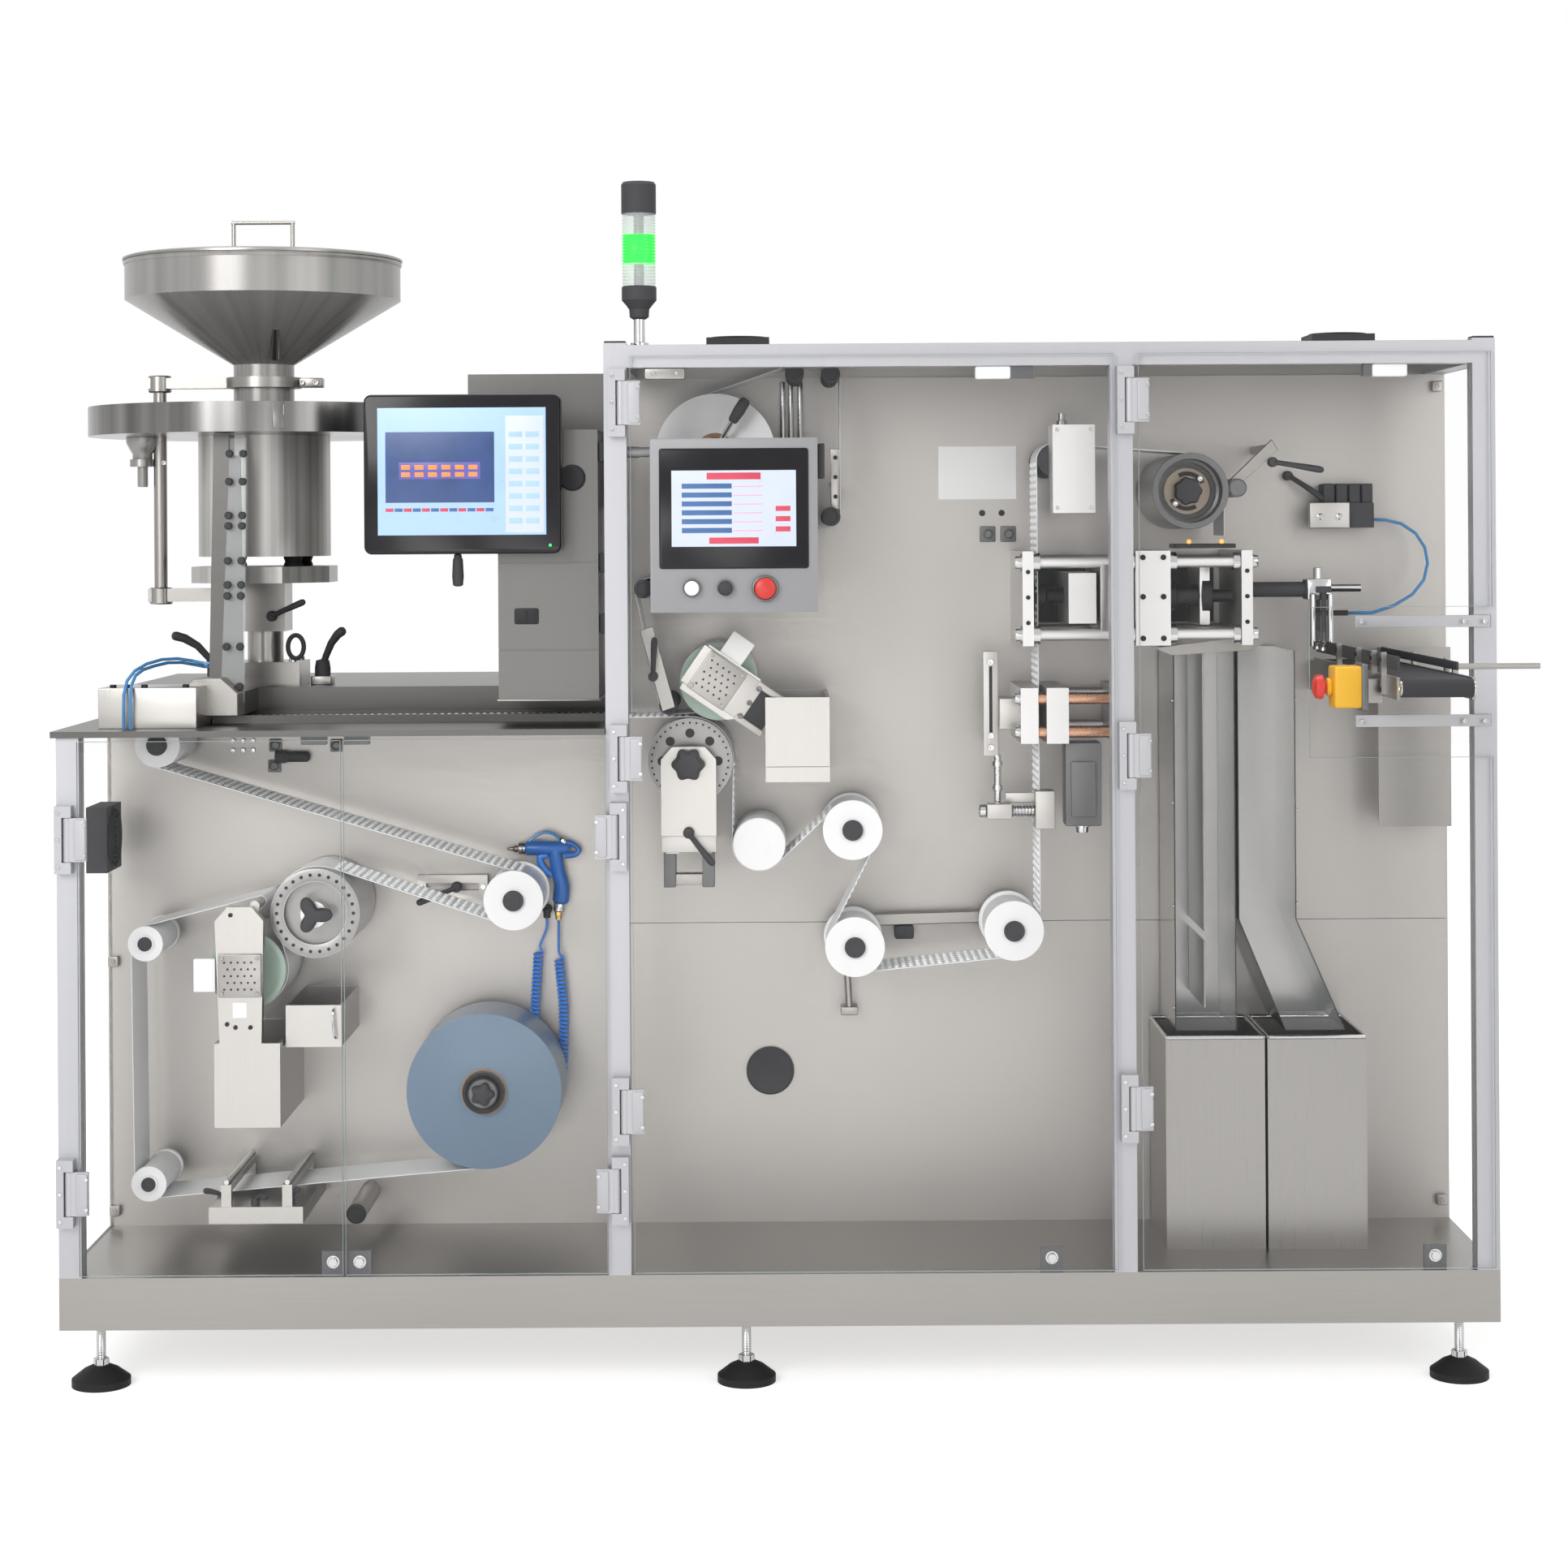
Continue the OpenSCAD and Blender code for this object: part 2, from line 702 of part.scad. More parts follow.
module film_reel() {
    color("lightsteelblue") roller(reel_at, reel_r, [lane_y - 8, lane_y + web_w + 8], 0, 8, 38, 14);
}

module forming_drum() {
    color("silver") roller(forming_at, forming_r, [roller_y - 15, drum_end], 0, 12, 24, 18,
        [forming_r - 23, 20]);
}

module heater_roll() {
    color("darkseagreen") roller(heat_at, heat_r, [roller_y, drum_end], 0, 12, 20, 4);
}

module inlet_roller() {
    color("white") roller(inlet_at, inlet_r - web_gap - web_t, [roller_y, roller_end], 0);
}

module return_roller() {
    color("white") roller(return_at, guide_r, [roller_y, roller_end]);
}

module upper_film_roller() {
    color("white") roller(upper_at, small_r, [roller_y, roller_end], 3);
}

module lower_film_roller() {
    color("white") roller(lower_at, small_r, [roller_y, roller_end], 3);
}

heat_box_x = [251, 370];
heat_box_z = [442, 594];
heat_front = 130;
box_wall = 6;
heat_arm = [[262, 560], [336, 560], [341, 815], [320, 840], [276, 840], [253, 815]];
heat_arm_t = 20;
module forming_heater() {
    box_y = [heat_front, bay_d];
    color("gainsboro") {
        upright([heat_front, heat_front + heat_arm_t]) polygon(heat_arm);
        difference() {
            block(heat_box_x, box_y, heat_box_z);
            block([heat_box_x[0] + box_wall, heat_box_x[1] - box_wall],
                [box_y[0] + box_wall, box_y[1] - box_wall], [heat_box_z[0] + box_wall, heat_box_z[1] + eps]);
        }
        bar_y(heat_bar_at, heat_bar_r, [heat_front + heat_arm_t, bay_d]);
    }
}

tray_x = [374, 475];
tray_y = 170;
tray_z = [580, 656];
tray_wall = 3;
module forming_tray() {
    color("silver") difference() {
        block(tray_x, [tray_y, bay_d], tray_z);
        block([tray_x[0] + tray_wall, tray_x[1] - tray_wall], [tray_y + tray_wall, bay_d - tray_wall],
            [tray_z[0] + tray_wall, tray_z[1] + eps]);
    }
}

splice_x = [240, 410];
splice_y = 128;
splice_z = [269, 299];
splice_bars = [262, 372];
splice_bar = [18, 12];
splice_lift = 27;
peg_at = [496, 269];
peg_r = 18;
peg_y = 200;
module splice_table() {
    bar_z0 = splice_z[1] + splice_lift;
    bar_foot = 14;
    color("gainsboro") {
        block(splice_x, [splice_y, bay_d], splice_z);
        for (x = splice_bars) {
            block([x, x + splice_bar[0]], [splice_y + 4, bay_d], [bar_z0, bar_z0 + splice_bar[1]]);
            for (y = [splice_y + 4, bay_d - bar_foot - 2])
                block([x, x + splice_bar[0]], [y, y + bar_foot], [splice_z[1] - 1, bar_z0 + 1]);
        }
    }
    color("silver") bar_y(peg_at, peg_r, [peg_y, bay_d]);
}

tension_x = [590, 722];
tension_z = [823, 867];
tension_t = 22;
tension_slot = [16, 15];
module tension_bar() {
    color("lightgray") difference() {
        block(tension_x, [bay_d - tension_t, bay_d], tension_z);
        block([tension_x[0] + tension_slot[0], tension_x[1] - tension_slot[0]],
            [bay_d - tension_t - 1, bay_d + eps],
            [tension_z[0] + tension_slot[1], tension_z[1] - tension_slot[1]]);
    }
}

gun_y = bay_d - 22;
gun_t = 22;
barrel_x = [794, 866];
barrel_z = 917;
barrel_r = 13;
nozzle_x = 759;
nozzle_r = 4;
gun_grip = [[836, 912], [868, 912], [865, 882], [877, 848], [877, 822], [868, 812],
    [843, 812], [838, 830], [845, 872]];
gun_eye = [[856, 931], [878, 926], [897, 912], [890, 903], [864, 905]];
gun_fitting = [856, 781];
hose_port = [834, 800];
port_r = 9;
fitting_r = 7;
module air_gun() {
    color("royalblue") {
        bar_x(gun_y, barrel_z, barrel_r, barrel_x);
        bar_x(gun_y, barrel_z - 2, nozzle_r, [nozzle_x, barrel_x[0] + 1]);
        upright([gun_y - gun_t / 2, gun_y + gun_t / 2]) offset(4) offset(-4) {
            polygon(gun_grip);
            polygon(gun_eye);
        }
        bar_z(gun_fitting[0], gun_y, fitting_r, [gun_fitting[1], gun_grip[5][1] + 4]);
        bar_y([barrel_x[1] - 14, barrel_z], nozzle_r * 2, [gun_y, bay_d]);
    }
    color("dimgray") {
        bar_y(hose_port, port_r, [gun_y - port_r, bay_d]);
        bar_z(hose_port[0], gun_y, fitting_r, [hose_port[1] - 16, hose_port[1]]);
    }
}

// Curly hose from the port on the plate, down behind the film reel and up to the gun
hose_route = [[834, 378, 784], [834, 378, 770], [829, 377, 753], [822, 376, 737], [818, 376, 720],
    [816, 376, 690], [814, 376, 660], [812, 376, 630], [811, 376, 600], [811, 376, 570], [811, 376, 540],
    [812, 376, 515], [814, 376, 495], [822, 376, 477], [837, 376, 469], [852, 376, 477], [860, 376, 495],
    [863, 376, 515], [864, 376, 540], [865, 376, 570], [865, 376, 600], [864, 376, 630], [861, 376, 660],
    [858, 376, 690], [857, 377, 707], [856, 378, 724], [856, 378, 745], [856, 378, 765], [856, 378, 781]];
hose_tail = 4;
tail_r = 2.5;
coil_r = 10.5;
module coil_hose() {
    n = len(hose_route);
    color("dodgerblue") tube(hose_route, [for (i = [0:n - 1])
        i < hose_tail || i > n - 1 - hose_tail - 1 ? tail_r : coil_r], 12);
}

// Air tubes from the feed chute to the table, and from the valve to the suction lifter
tube_r = 3;
table_tubes = [
    [[229, 226, 1277], [217, 226, 1277], [198, 218, 1282], [176, 196, 1287], [154, 162, 1287],
        [135, 124, 1281], [121, 88, 1270], [113, 62, 1254], [110, 48, 1230], [110, 45, 1200],
        [110, 45, 1185], [110, 45, 1168.4]],
    [[229, 240, 1270], [217, 240, 1270], [200, 234, 1274], [180, 216, 1279], [160, 186, 1280],
        [143, 150, 1276], [131, 112, 1271], [124, 80, 1262], [122, 55, 1246], [122, 46, 1222],
        [122, 45, 1185], [122, 45, 1168.4]]];
valve_tube = [[-146, 370, 1528], [-120, 368, 1527], [-92, 360, 1520], [-68, 346, 1502], [-54, 330, 1475],
    [-52, 316, 1446], [-62, 303, 1415], [-86, 292, 1388], [-122, 284, 1368], [-164, 280, 1355],
    [-209, 280, 1355]];
module air_tubes() {
    color("deepskyblue") {
        for (route = table_tubes) tube(route, [for (p = route) tube_r], 8);
        tube([for (p = valve_tube) p + [base_l, 0, 0]], [for (p = valve_tube) tube_r], 8);
    }
}

module film_web() {
    path = concat(
        [[reel_at[0] - 20, reel_at[1] - reel_r - 1, 0, 1], wheel(lower_at, small_r, -1),
            wheel(upper_at, small_r, -1), wheel(heat_bar_at, heat_bar_r, -1), wheel(heat_at, heat_r, 1),
            wheel(forming_at, forming_r, -1), wheel(return_at, guide_r, 1),
            wheel(inlet_at, inlet_r - web_gap - web_t, -1), wheel(seal_at, seal_r, -1),
            wheel(cool_at, guide_r, 1), wheel(exit_at, guide_r, -1), wheel(dancer_at, guide_r, 1),
            wheel(lift_at, guide_r, 1), wheel(turn_at, turn_r, -1), wheel(index_at, index_r, -1),
            [index_at[0] + index_r + web_gap + web_t / 2, 1500, 0, 1]]);
    color("white") film(path, web_t);
}

module lid_foil() {
    t = 0.8;
    r = foil_bar_r + web_gap + t / 2;
    path = [[foil_at[0] - 10, foil_at[1] + foil_r + 1, 0, 1],
        [foil_bars[0][0], foil_bars[0][1], r, -1], [foil_bars[1][0], foil_bars[1][1], r, -1],
        [foil_bars[2][0], foil_bars[2][1], r, -1], [foil_bars[3][0], foil_bars[3][1], r, 1],
        [foil_bars[4][0], foil_bars[4][1], r, 1], [seal_at[0] + 8, seal_at[1] + seal_r + 8, 0, 1]];
    color("white") film(path, t);
}

module foil_reel() {
    color("whitesmoke") roller(foil_at, foil_r, [lane_y - 4, lane_y + web_w + 4], 0, 8, 30, 10);
}

module foil_guides() {
    color("dimgray") {
        for (at = foil_bars) bar_y(at, foil_bar_r, [lane_y - 12, bay_d]);
        bar_y(turn_at, turn_r, [lane_y - 12, bay_d]);
    }
}

module sealing_drum() {
    color("silver") roller(seal_at, seal_r, [roller_y - 10, drum_end], 0, 12, 26, 4);
}

module seal_roll() {
    color("silver") roller(seal_roll_at, heat_r, [roller_y, drum_end], 0, 12, 20, 4);
}

seal_box_x = [1250, 1366];
seal_box_z = [1060, 1213];
seal_arm = [[-52, -48], [50, -48], [92, -10], [92, 14], [60, 48], [-52, 48]];
seal_arm_y = 145;
seal_arm_t = 20;
seal_arm_tilt = 34.8;
seal_plate = [[1060, 960], [1160, 960], [1160, 1100], [1140, 1123], [1080, 1123], [1060, 1100]];
seal_plate_y = [150, 168];
seal_legs = [1068, 1128];
seal_leg = [24, 30];
seal_pivot_r = 8;
module seal_heater() {
    box_y = [heat_front, bay_d];
    leg_top = seal_plate[0][1];
    color("gainsboro") {
        difference() {
            block(seal_box_x, box_y, seal_box_z);
            block([seal_box_x[0] + box_wall, seal_box_x[1] - box_wall],
                [box_y[0] + box_wall, box_y[1] - box_wall], [seal_box_z[0] + box_wall, seal_box_z[1] + eps]);
        }
        translate([seal_roll_at[0], seal_arm_y, seal_roll_at[1]]) rotate([0, seal_arm_tilt, 0])
            upright([0, seal_arm_t]) polygon(seal_arm);
        bar_y(seal_pivot, seal_pivot_r, [seal_arm_y + seal_arm_t / 2, bay_d]);
        upright(seal_plate_y) polygon(seal_plate);
        for (x = seal_legs)
            block([x, x + seal_leg[0]], [seal_plate_y[0], bay_d], [leg_top - seal_leg[1], leg_top]);
    }
}

module cooling_roller() {
    color("white") roller(cool_at, guide_r, [roller_y, roller_end], 0);
}

module exit_roller() {
    color("white") roller(exit_at, guide_r, [roller_y, roller_end]);
}

module dancer_roller() {
    color("white") roller(dancer_at, guide_r, [roller_y, roller_end]);
}

module lift_roller() {
    color("white") roller(lift_at, guide_r, [roller_y, roller_end]);
}

punch_x = base_l - 825;
die_plates = [[0, 20], [204, 267], [395, 415]];
die_y = 120;
die_z = [1303, 1474];
die_tie_r = 11;
ram_x = [85, 135];
perf_plates = [[-2, 30], [45, 85], [170, 192]];
perf_y = 150;
perf_z = [1125, 1226];
perf_tie_r = 9;
tie_in = 20;
guide_box_x = [55, 131];
guide_box_y = 110;
guide_box_z = [1543, 1702];
guide_arm = 30;
// Plates side by side, carried on four tie bars between the first and the last
module tied_plates(plates, y0, z, tie_r) {
    for (x = plates) block([punch_x + x[0], punch_x + x[1]], [y0, bay_d], z);
    for (y = [y0 + tie_in, bay_d - tie_in - tie_r], tz = [z[0] + tie_in, z[1] - tie_in])
        bar_x(y, tz, tie_r, [punch_x + plates[0][1] - 1, punch_x + plates[2][0] + 1]);
}

module punch_station() {
    color("lightgray") {
        tied_plates(die_plates, die_y, die_z, die_tie_r);
        block([punch_x + ram_x[0], punch_x + ram_x[1]], [die_y + tie_in, bay_d],
            [die_z[0] + 2 * tie_in, die_z[1] - 2 * tie_in]);
    }
    color("silver") tied_plates(perf_plates, perf_y, perf_z, perf_tie_r);
    color("darkgray") {
        block([punch_x + guide_box_x[0], punch_x + guide_box_x[1]], [guide_box_y, lane_y - 14], guide_box_z);
        translate([punch_x + guide_box_x[0] + 24, lane_y - 15, guide_box_z[0] + 2])
            cube([guide_arm, bay_d - lane_y + 15, guide_arm]);
    }
}

index_y = 150;
module index_roller() {
    color("dimgray") roller(index_at, index_r, [index_y, drum_end], 0, 12, 43, -50, [index_r - 10, 57]);
}

bin_x = base_l - 567;
bin_y = [160, bay_d - 10];
bin_z = base_top;
bin_wall = 2;
bin_gap = 5;
chute_y = [bin_y[0] + 16, bin_y[1] - 4];
module bin(x) {
    difference() {
        block([x, x + bin_w], bin_y, [bin_z, bin_z + bin_h]);
        block([x + bin_wall, x + bin_w - bin_wall], [bin_y[0] + bin_wall, bin_y[1] - bin_wall],
            [bin_z + bin_wall, bin_z + bin_h + eps]);
    }
}

// Sheet duct between an upper and a lower opening, side walls to the outline
module duct(outline, inner) {
    difference() {
        upright(chute_y) polygon(outline);
        upright([chute_y[0] + bin_wall, chute_y[1] - bin_wall]) polygon(inner);
    }
}

module waste_bins() {
    color("silver") for (i = [0, 1]) bin(bin_x + i * (bin_w + bin_gap));
}

chute_top = 1290;
chute_low = bin_z + bin_h + 8;
chute_bend = 801;
chute_x = [bin_x + 20, bin_x + 132];
reject_x = [chute_x[1] + 4, chute_x[1] + 110];
reject_end = [bin_x + bin_w + 40, bin_x + 2 * bin_w - 30];
hanger = [20, 40];
hanger_z = 900;
// Strap that holds a chute to the mounting plate
module chute_hanger(x) {
    block([x + 30, x + 30 + hanger[0]], [chute_y[1], bay_d], [hanger_z, hanger_z + hanger[1]]);
}

// Straight chute of four sheets: two sides, a clear front and the back
sheet_gap = 0.3;
module waste_chute_left() {
    w = bin_wall;
    x = chute_x;
    z = [chute_low, chute_top];
    color("silver") {
        for (side = [x[0], x[1] - w]) block([side, side + w], chute_y, z);
        for (sheet = [chute_y[0], chute_y[1] - w])
            block([x[0] + w + sheet_gap, x[1] - w - sheet_gap], [sheet, sheet + w], z);
        chute_hanger(x[0]);
    }
}

module waste_chute_right() {
    w = bin_wall;
    x = reject_x;
    end = reject_end;
    color("silver") {
        duct([[end[0], chute_low], [end[1], chute_low], [x[1], chute_bend], [x[1], chute_top],
                [x[0], chute_top], [x[0], chute_bend]],
            [[end[0] + w, chute_low - 1], [end[1] - w, chute_low - 1], [x[1] - w, chute_bend],
                [x[1] - w, chute_top + 1], [x[0] + w, chute_top + 1], [x[0] + w, chute_bend]]);
        chute_hanger(x[0]);
    }
}

conv_x = [base_l - 262, base_l - 250 + belt_w];
conv_side = 5.7;
conv_back = 330;
conv_below = 34;
guide_y = [-330, -250, -120, 60];
guide_t = 12;
guide_h = 40;
rod_r = 5;
drive_y = 300;
drive_x = [base_l - 149, base_l - 14];
drive_z = [956, 1290];
drive_t = 3;
module outfeed_conveyor() {
    rod_y = guide_y[1];
    drive_in = conv_x[1] + 4;
    color("silver") {
        for (x = [conv_x[0], conv_x[1] - conv_side])
            block([x, x + conv_side], [6 - conv_out, conv_back + 6], [belt_z - conv_below, belt_z + 2]);
        block(conv_x, [conv_back + 4, bay_d], [belt_z - 60, belt_z - 4]);
        for (y = guide_y)
            block([conv_x[0] - 8, conv_x[0] + 1], [y, y + guide_t], [belt_z - 30, belt_z + guide_h]);
        block([conv_x[1] - 1, conv_x[1] + 8], [rod_y - guide_t / 2, rod_y + guide_t / 2],
            [belt_z - 30, belt_z + 20]);
        bar_x(rod_y, belt_z + guide_t, rod_r, [conv_x[1], x_max]);
        upright([drive_y, drive_y + drive_t]) polygon([[drive_x[0], drive_z[0]], [drive_x[1], drive_z[0]],
            [drive_x[1], drive_z[1]], [drive_in, drive_z[1]], [drive_in, belt_z - 64],
            [drive_x[0], belt_z - 64]]);
        block([drive_in, drive_x[1] - 4], [drive_y + drive_t - eps, bay_d], [drive_z[0] + 4, drive_z[1] - 4]);
    }
}

module conveyor_belt() {
    gap = 0.3;
    r = conv_r;
    x = [conv_x[0] + conv_side + gap, conv_x[1] - conv_side - gap];
    color("dimgray") {
        block(x, [-conv_out, conv_back - r], [belt_z - 2 * r, belt_z]);
        for (y = [-conv_out, conv_back - r]) bar_x(y, belt_z - r, r, x);
    }
}

lifter_z = 1400;
lifter_y = 250;
lifter_r = 14;
lifter_block = [44, 40, 36];
cup_rods = 30;
cup_rod_r = 5;
cup_low = 1305;
valve_x = [4, 115];
valve_z = [1513, 1560];
valve_d = 60;
module suction_arm() {
    x = conv_x[0];
    y = lifter_y;
    z = lifter_z;
    rod_x = x - 2;
    color("dimgray") {
        bar_x(y, z, lifter_r, [punch_x + die_plates[2][1], x - lifter_r]);
        translate([x - 32, y - lifter_block[1] / 2, z - lifter_block[2] / 2]) cube(lifter_block);
        for (dy = [-cup_rods, cup_rods]) bar_z(rod_x, y + dy, cup_rod_r, [cup_low, z + 6]);
        block([x - 14, x + 10], [y - cup_rods - 10, y + cup_rods + 10], [z - 6, z + 6]);
        bar_x(y + cup_rods, valve_tube[10][2], tube_r + 2, [rod_x, base_l + valve_tube[10][0]]);
    }
    color("gray") block([x + valve_x[0], x + valve_x[1]], [bay_d - valve_d, bay_d], valve_z);
}

placed() base_frame();
placed() levelling_feet();
placed() back_plates();
placed() rear_housing();
placed() cover_panels();
placed() frame_posts();
placed() top_rails();
placed() cooling_fans();
placed() clear_guards();
placed() feeding_table();
placed() hinge_blocks();
placed() door_catches();
placed() left_door();
placed() table_door();
placed() middle_door();
placed() right_door();
placed() hopper();
placed() hopper_lid();
placed() feeder_stand();
placed() feeder_bowl();
placed() vibrator_drum();
placed() feed_chute();
placed() inspection_hood();
placed() monitor();
placed() control_panel();
placed() stack_light();
placed() roller_shafts();
placed() film_reel();
placed() forming_drum();
placed() heater_roll();
placed() inlet_roller();
placed() return_roller();
placed() upper_film_roller();
placed() lower_film_roller();
placed() forming_heater();
placed() forming_tray();
placed() splice_table();
placed() tension_bar();
placed() air_gun();
placed() coil_hose();
placed() air_tubes();
placed() film_web();
placed() lid_foil();
placed() foil_reel();
placed() foil_guides();
placed() sealing_drum();
placed() seal_roll();
placed() seal_heater();
placed() cooling_roller();
placed() exit_roller();
placed() dancer_roller();
placed() lift_roller();
placed() punch_station();
placed() index_roller();
placed() suction_arm();
placed() waste_bins();
placed() waste_chute_left();
placed() waste_chute_right();
placed() outfeed_conveyor();
placed() conveyor_belt();
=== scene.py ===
"""Looks of a rotary blister packing machine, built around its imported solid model."""

import logging
import math
from dataclasses import dataclass, field
from enum import Enum
from typing import Any, Sequence

import bmesh
import bpy
import numpy as np
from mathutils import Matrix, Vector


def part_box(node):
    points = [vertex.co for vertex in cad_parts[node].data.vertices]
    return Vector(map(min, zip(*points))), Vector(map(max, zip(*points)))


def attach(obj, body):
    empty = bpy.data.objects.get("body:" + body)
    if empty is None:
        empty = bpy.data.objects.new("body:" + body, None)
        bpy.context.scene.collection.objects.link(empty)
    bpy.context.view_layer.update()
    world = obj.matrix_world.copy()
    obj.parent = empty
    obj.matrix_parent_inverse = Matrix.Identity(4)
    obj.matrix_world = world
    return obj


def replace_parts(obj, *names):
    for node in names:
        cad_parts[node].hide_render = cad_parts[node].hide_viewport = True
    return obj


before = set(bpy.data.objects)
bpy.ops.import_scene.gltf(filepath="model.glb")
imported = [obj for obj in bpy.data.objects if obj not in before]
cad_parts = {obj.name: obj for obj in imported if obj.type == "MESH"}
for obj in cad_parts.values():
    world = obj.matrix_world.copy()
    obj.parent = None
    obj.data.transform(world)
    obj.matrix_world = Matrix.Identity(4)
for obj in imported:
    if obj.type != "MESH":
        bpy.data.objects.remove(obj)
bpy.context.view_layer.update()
LOG = logging.getLogger("blister_machine")
MM = 0.001
TAU = 2 * math.pi
SHARP_DEG = 32.0
FEEDER_AXIS = (290.0, 470.0)
PLATE_FRONT = 400.0
CLOUD_SCALE = 2.2
RELIEF_M = 0.0004
CLEAR_SHINE = 0.12
Array = np.ndarray
Point = tuple[float, float, float]
Flat = tuple[float, float]
Colour = tuple[float, float, float]
Tree = bpy.types.NodeTree
Socket = bpy.types.NodeSocket
Inputs = dict[str | int, Any]


class Axis(Enum):
    """Direction that a turned or carried shape runs along, with its two cross directions."""

    X = ((0, 1, 0), (0, 0, 1), (1, 0, 0))
    Y = ((1, 0, 0), (0, 0, -1), (0, 1, 0))
    Z = ((1, 0, 0), (0, 1, 0), (0, 0, 1))
    FRONT = ((1, 0, 0), (0, 0, 1), (0, -1, 0))
    LEFT = ((0, -1, 0), (0, 0, 1), (-1, 0, 0))
    DOWN = ((1, 0, 0), (0, -1, 0), (0, 0, -1))


class Grain(Enum):
    """Surface pattern of a finish."""

    BRUSHED_X = "brushed along the machine"
    BRUSHED_Z = "brushed upwards"
    TURNED = "fine turning marks"
    MOULDED = "fine moulded grain"
    SMOOTH = "smooth with slight clouds"
    FILM = "formed film with pockets"
    # Painted highlight streaks: colour and roughness vary with the direction round the feeder's upright axis, standing
    # in for reflections.
    SPUN_PAINTED_HIGHLIGHTS = "soft streaks round the feeder's upright axis"


# Shapes: each is a list of rings, an array of cross-sections carried along a path.


@dataclass(frozen=True)
class Shape:
    """Closed surface in machine millimetres.

    Attributes:
        verts: Points, one per row.
        faces: Corner numbers of each face.
    """

    verts: Array
    faces: list[list[int]]

    def moved(self, offset: Point) -> "Shape":
        """Returns the shape shifted by offset."""
        return Shape(self.verts + np.asarray(offset, float), self.faces)

    def turned(self, degrees: float, about: Point, axis: Point = (0, 1, 0)) -> "Shape":
        """Turns the shape about an axis, by Rodrigues' formula on all points at once.

        Args:
            degrees: Turn, positive by the right-hand rule.
            about: Point on the axis.
            axis: Direction of the axis.

        Returns:
            The turned shape.
        """
        k = np.asarray(axis, float) / np.linalg.norm(axis)
        p = self.verts - np.asarray(about, float)
        c, s = math.cos(math.radians(degrees)), math.sin(math.radians(degrees))
        turned = p * c + np.cross(k, p) * s + np.outer(p @ k, k) * (1 - c)
        return Shape(turned + np.asarray(about, float), self.faces)

    def repeated(self, places: Sequence[Point]) -> "Shape":
        """Returns copies of the shape at each place, as one shape."""
        return joined([self.moved(p) for p in places])


def joined(shapes: Sequence[Shape]) -> Shape:
    """Returns several shapes as one."""
    starts = np.cumsum([0] + [len(s.verts) for s in shapes[:-1]])
    faces = [[i + int(a) for i in f] for s, a in zip(shapes, starts) for f in s.faces]
    return Shape(np.concatenate([s.verts for s in shapes]), faces)


def skin(rings: Array, loop: bool = False) -> Shape:
    """Joins neighbouring rings with quads and closes the ends.

    Quad (i, j) has corners (i, j), (i, j+1), (i+1, j+1), (i+1, j) on the grid of rings.

    Args:
        rings: Points as (rings, points on a ring, 3).
        loop: Whether the last ring joins the first again.

    Returns:
        The closed surface.
    """
    m, n = rings.shape[:2]
    index = np.arange(m * n).reshape(m, n)
    after = np.roll(index, -1, 1)
    if loop:
        quads = np.stack([index, after, np.roll(after, -1, 0), np.roll(index, -1, 0)], -1).reshape(-1, 4)
        return Shape(rings.reshape(-1, 3), quads.tolist())
    quads = np.stack([index[:-1], after[:-1], after[1:], index[1:]], -1).reshape(-1, 4)
    return Shape(rings.reshape(-1, 3), quads.tolist() + [index[0][::-1].tolist(), index[-1].tolist()])


def set_on(flat: Array, along: Array, origin: Point, axis: Axis) -> Array:
    """Puts flat sections into space: point = origin + u * cross1 + v * cross2 + along * direction."""
    u, v, w = (np.asarray(d, float) for d in axis.value)
    return np.asarray(origin, float) + flat[..., :1] * u + flat[..., 1:] * v + along[..., None] * w


def angles(n: int) -> Array:
    """Returns n even angles round the circle, half a step from nought."""
    return (np.arange(n) + 0.5) * TAU / n


def circle(n: int) -> Array:
    """Returns n points of the unit circle, (cos t, sin t)."""
    return np.stack([np.cos(angles(n)), np.sin(angles(n))], -1)


def spin(radii: Array, heights: Array, origin: Point, axis: Axis, loop: bool = False) -> Shape:
    """Stacks rings along an axis: point (i, j) is radii[i, j] times the unit circle's point j, at heights[i]."""
    n = radii.shape[1]
    return skin(set_on(radii[..., None] * circle(n), np.repeat(heights[:, None], n, 1), origin, axis), loop)


def lathe(profile: Sequence[Flat], origin: Point, axis: Axis = Axis.Z, n: int = 48, loop: bool = False) -> Shape:
    """Turns a profile about an axis: ring i is radius_i times the unit circle at height_i.

    Args:
        profile: (radius, height) pairs from one flat end to the other.
        origin: Point of the axis at height nought.
        axis: Direction of the axis.
        n: Points round a ring.
        loop: Whether the last ring joins the first.

    Returns:
        The turned solid.
    """
    p = np.asarray(profile, float)
    return spin(np.repeat(p[:, :1], n, 1), p[:, 1], origin, axis, loop)


def ring(profile: Sequence[Flat], origin: Point, axis: Axis = Axis.FRONT, n: int = 64) -> Shape:
    """Turns a closed profile about an axis, so that the middle stays open."""
    return lathe(profile, origin, axis, n, loop=True)


def arc_slot(at: Flat, radius: float, width: float, span: Flat, y: Flat) -> Shape:
    """Flat bar bent round a centre: a rectangle of the given width carried from one angle to the other.

    Args:
        at: Centre, x and z.
        radius: Radius of the bar's middle.
        width: Width of the bar.
        span: First and last angle in degrees.
        y: Front and back of the bar.

    Returns:
        The bent bar.
    """
    t = np.radians(np.linspace(*span, 19))[:, None]
    r = radius + width * np.array([-0.5, 0.5, 0.5, -0.5])
    depth = np.broadcast_to(np.array([y[0], y[0], y[1], y[1]]), (len(t), 4))
    return skin(np.stack([at[0] + r * np.cos(t), depth, at[1] + r * np.sin(t)], -1))


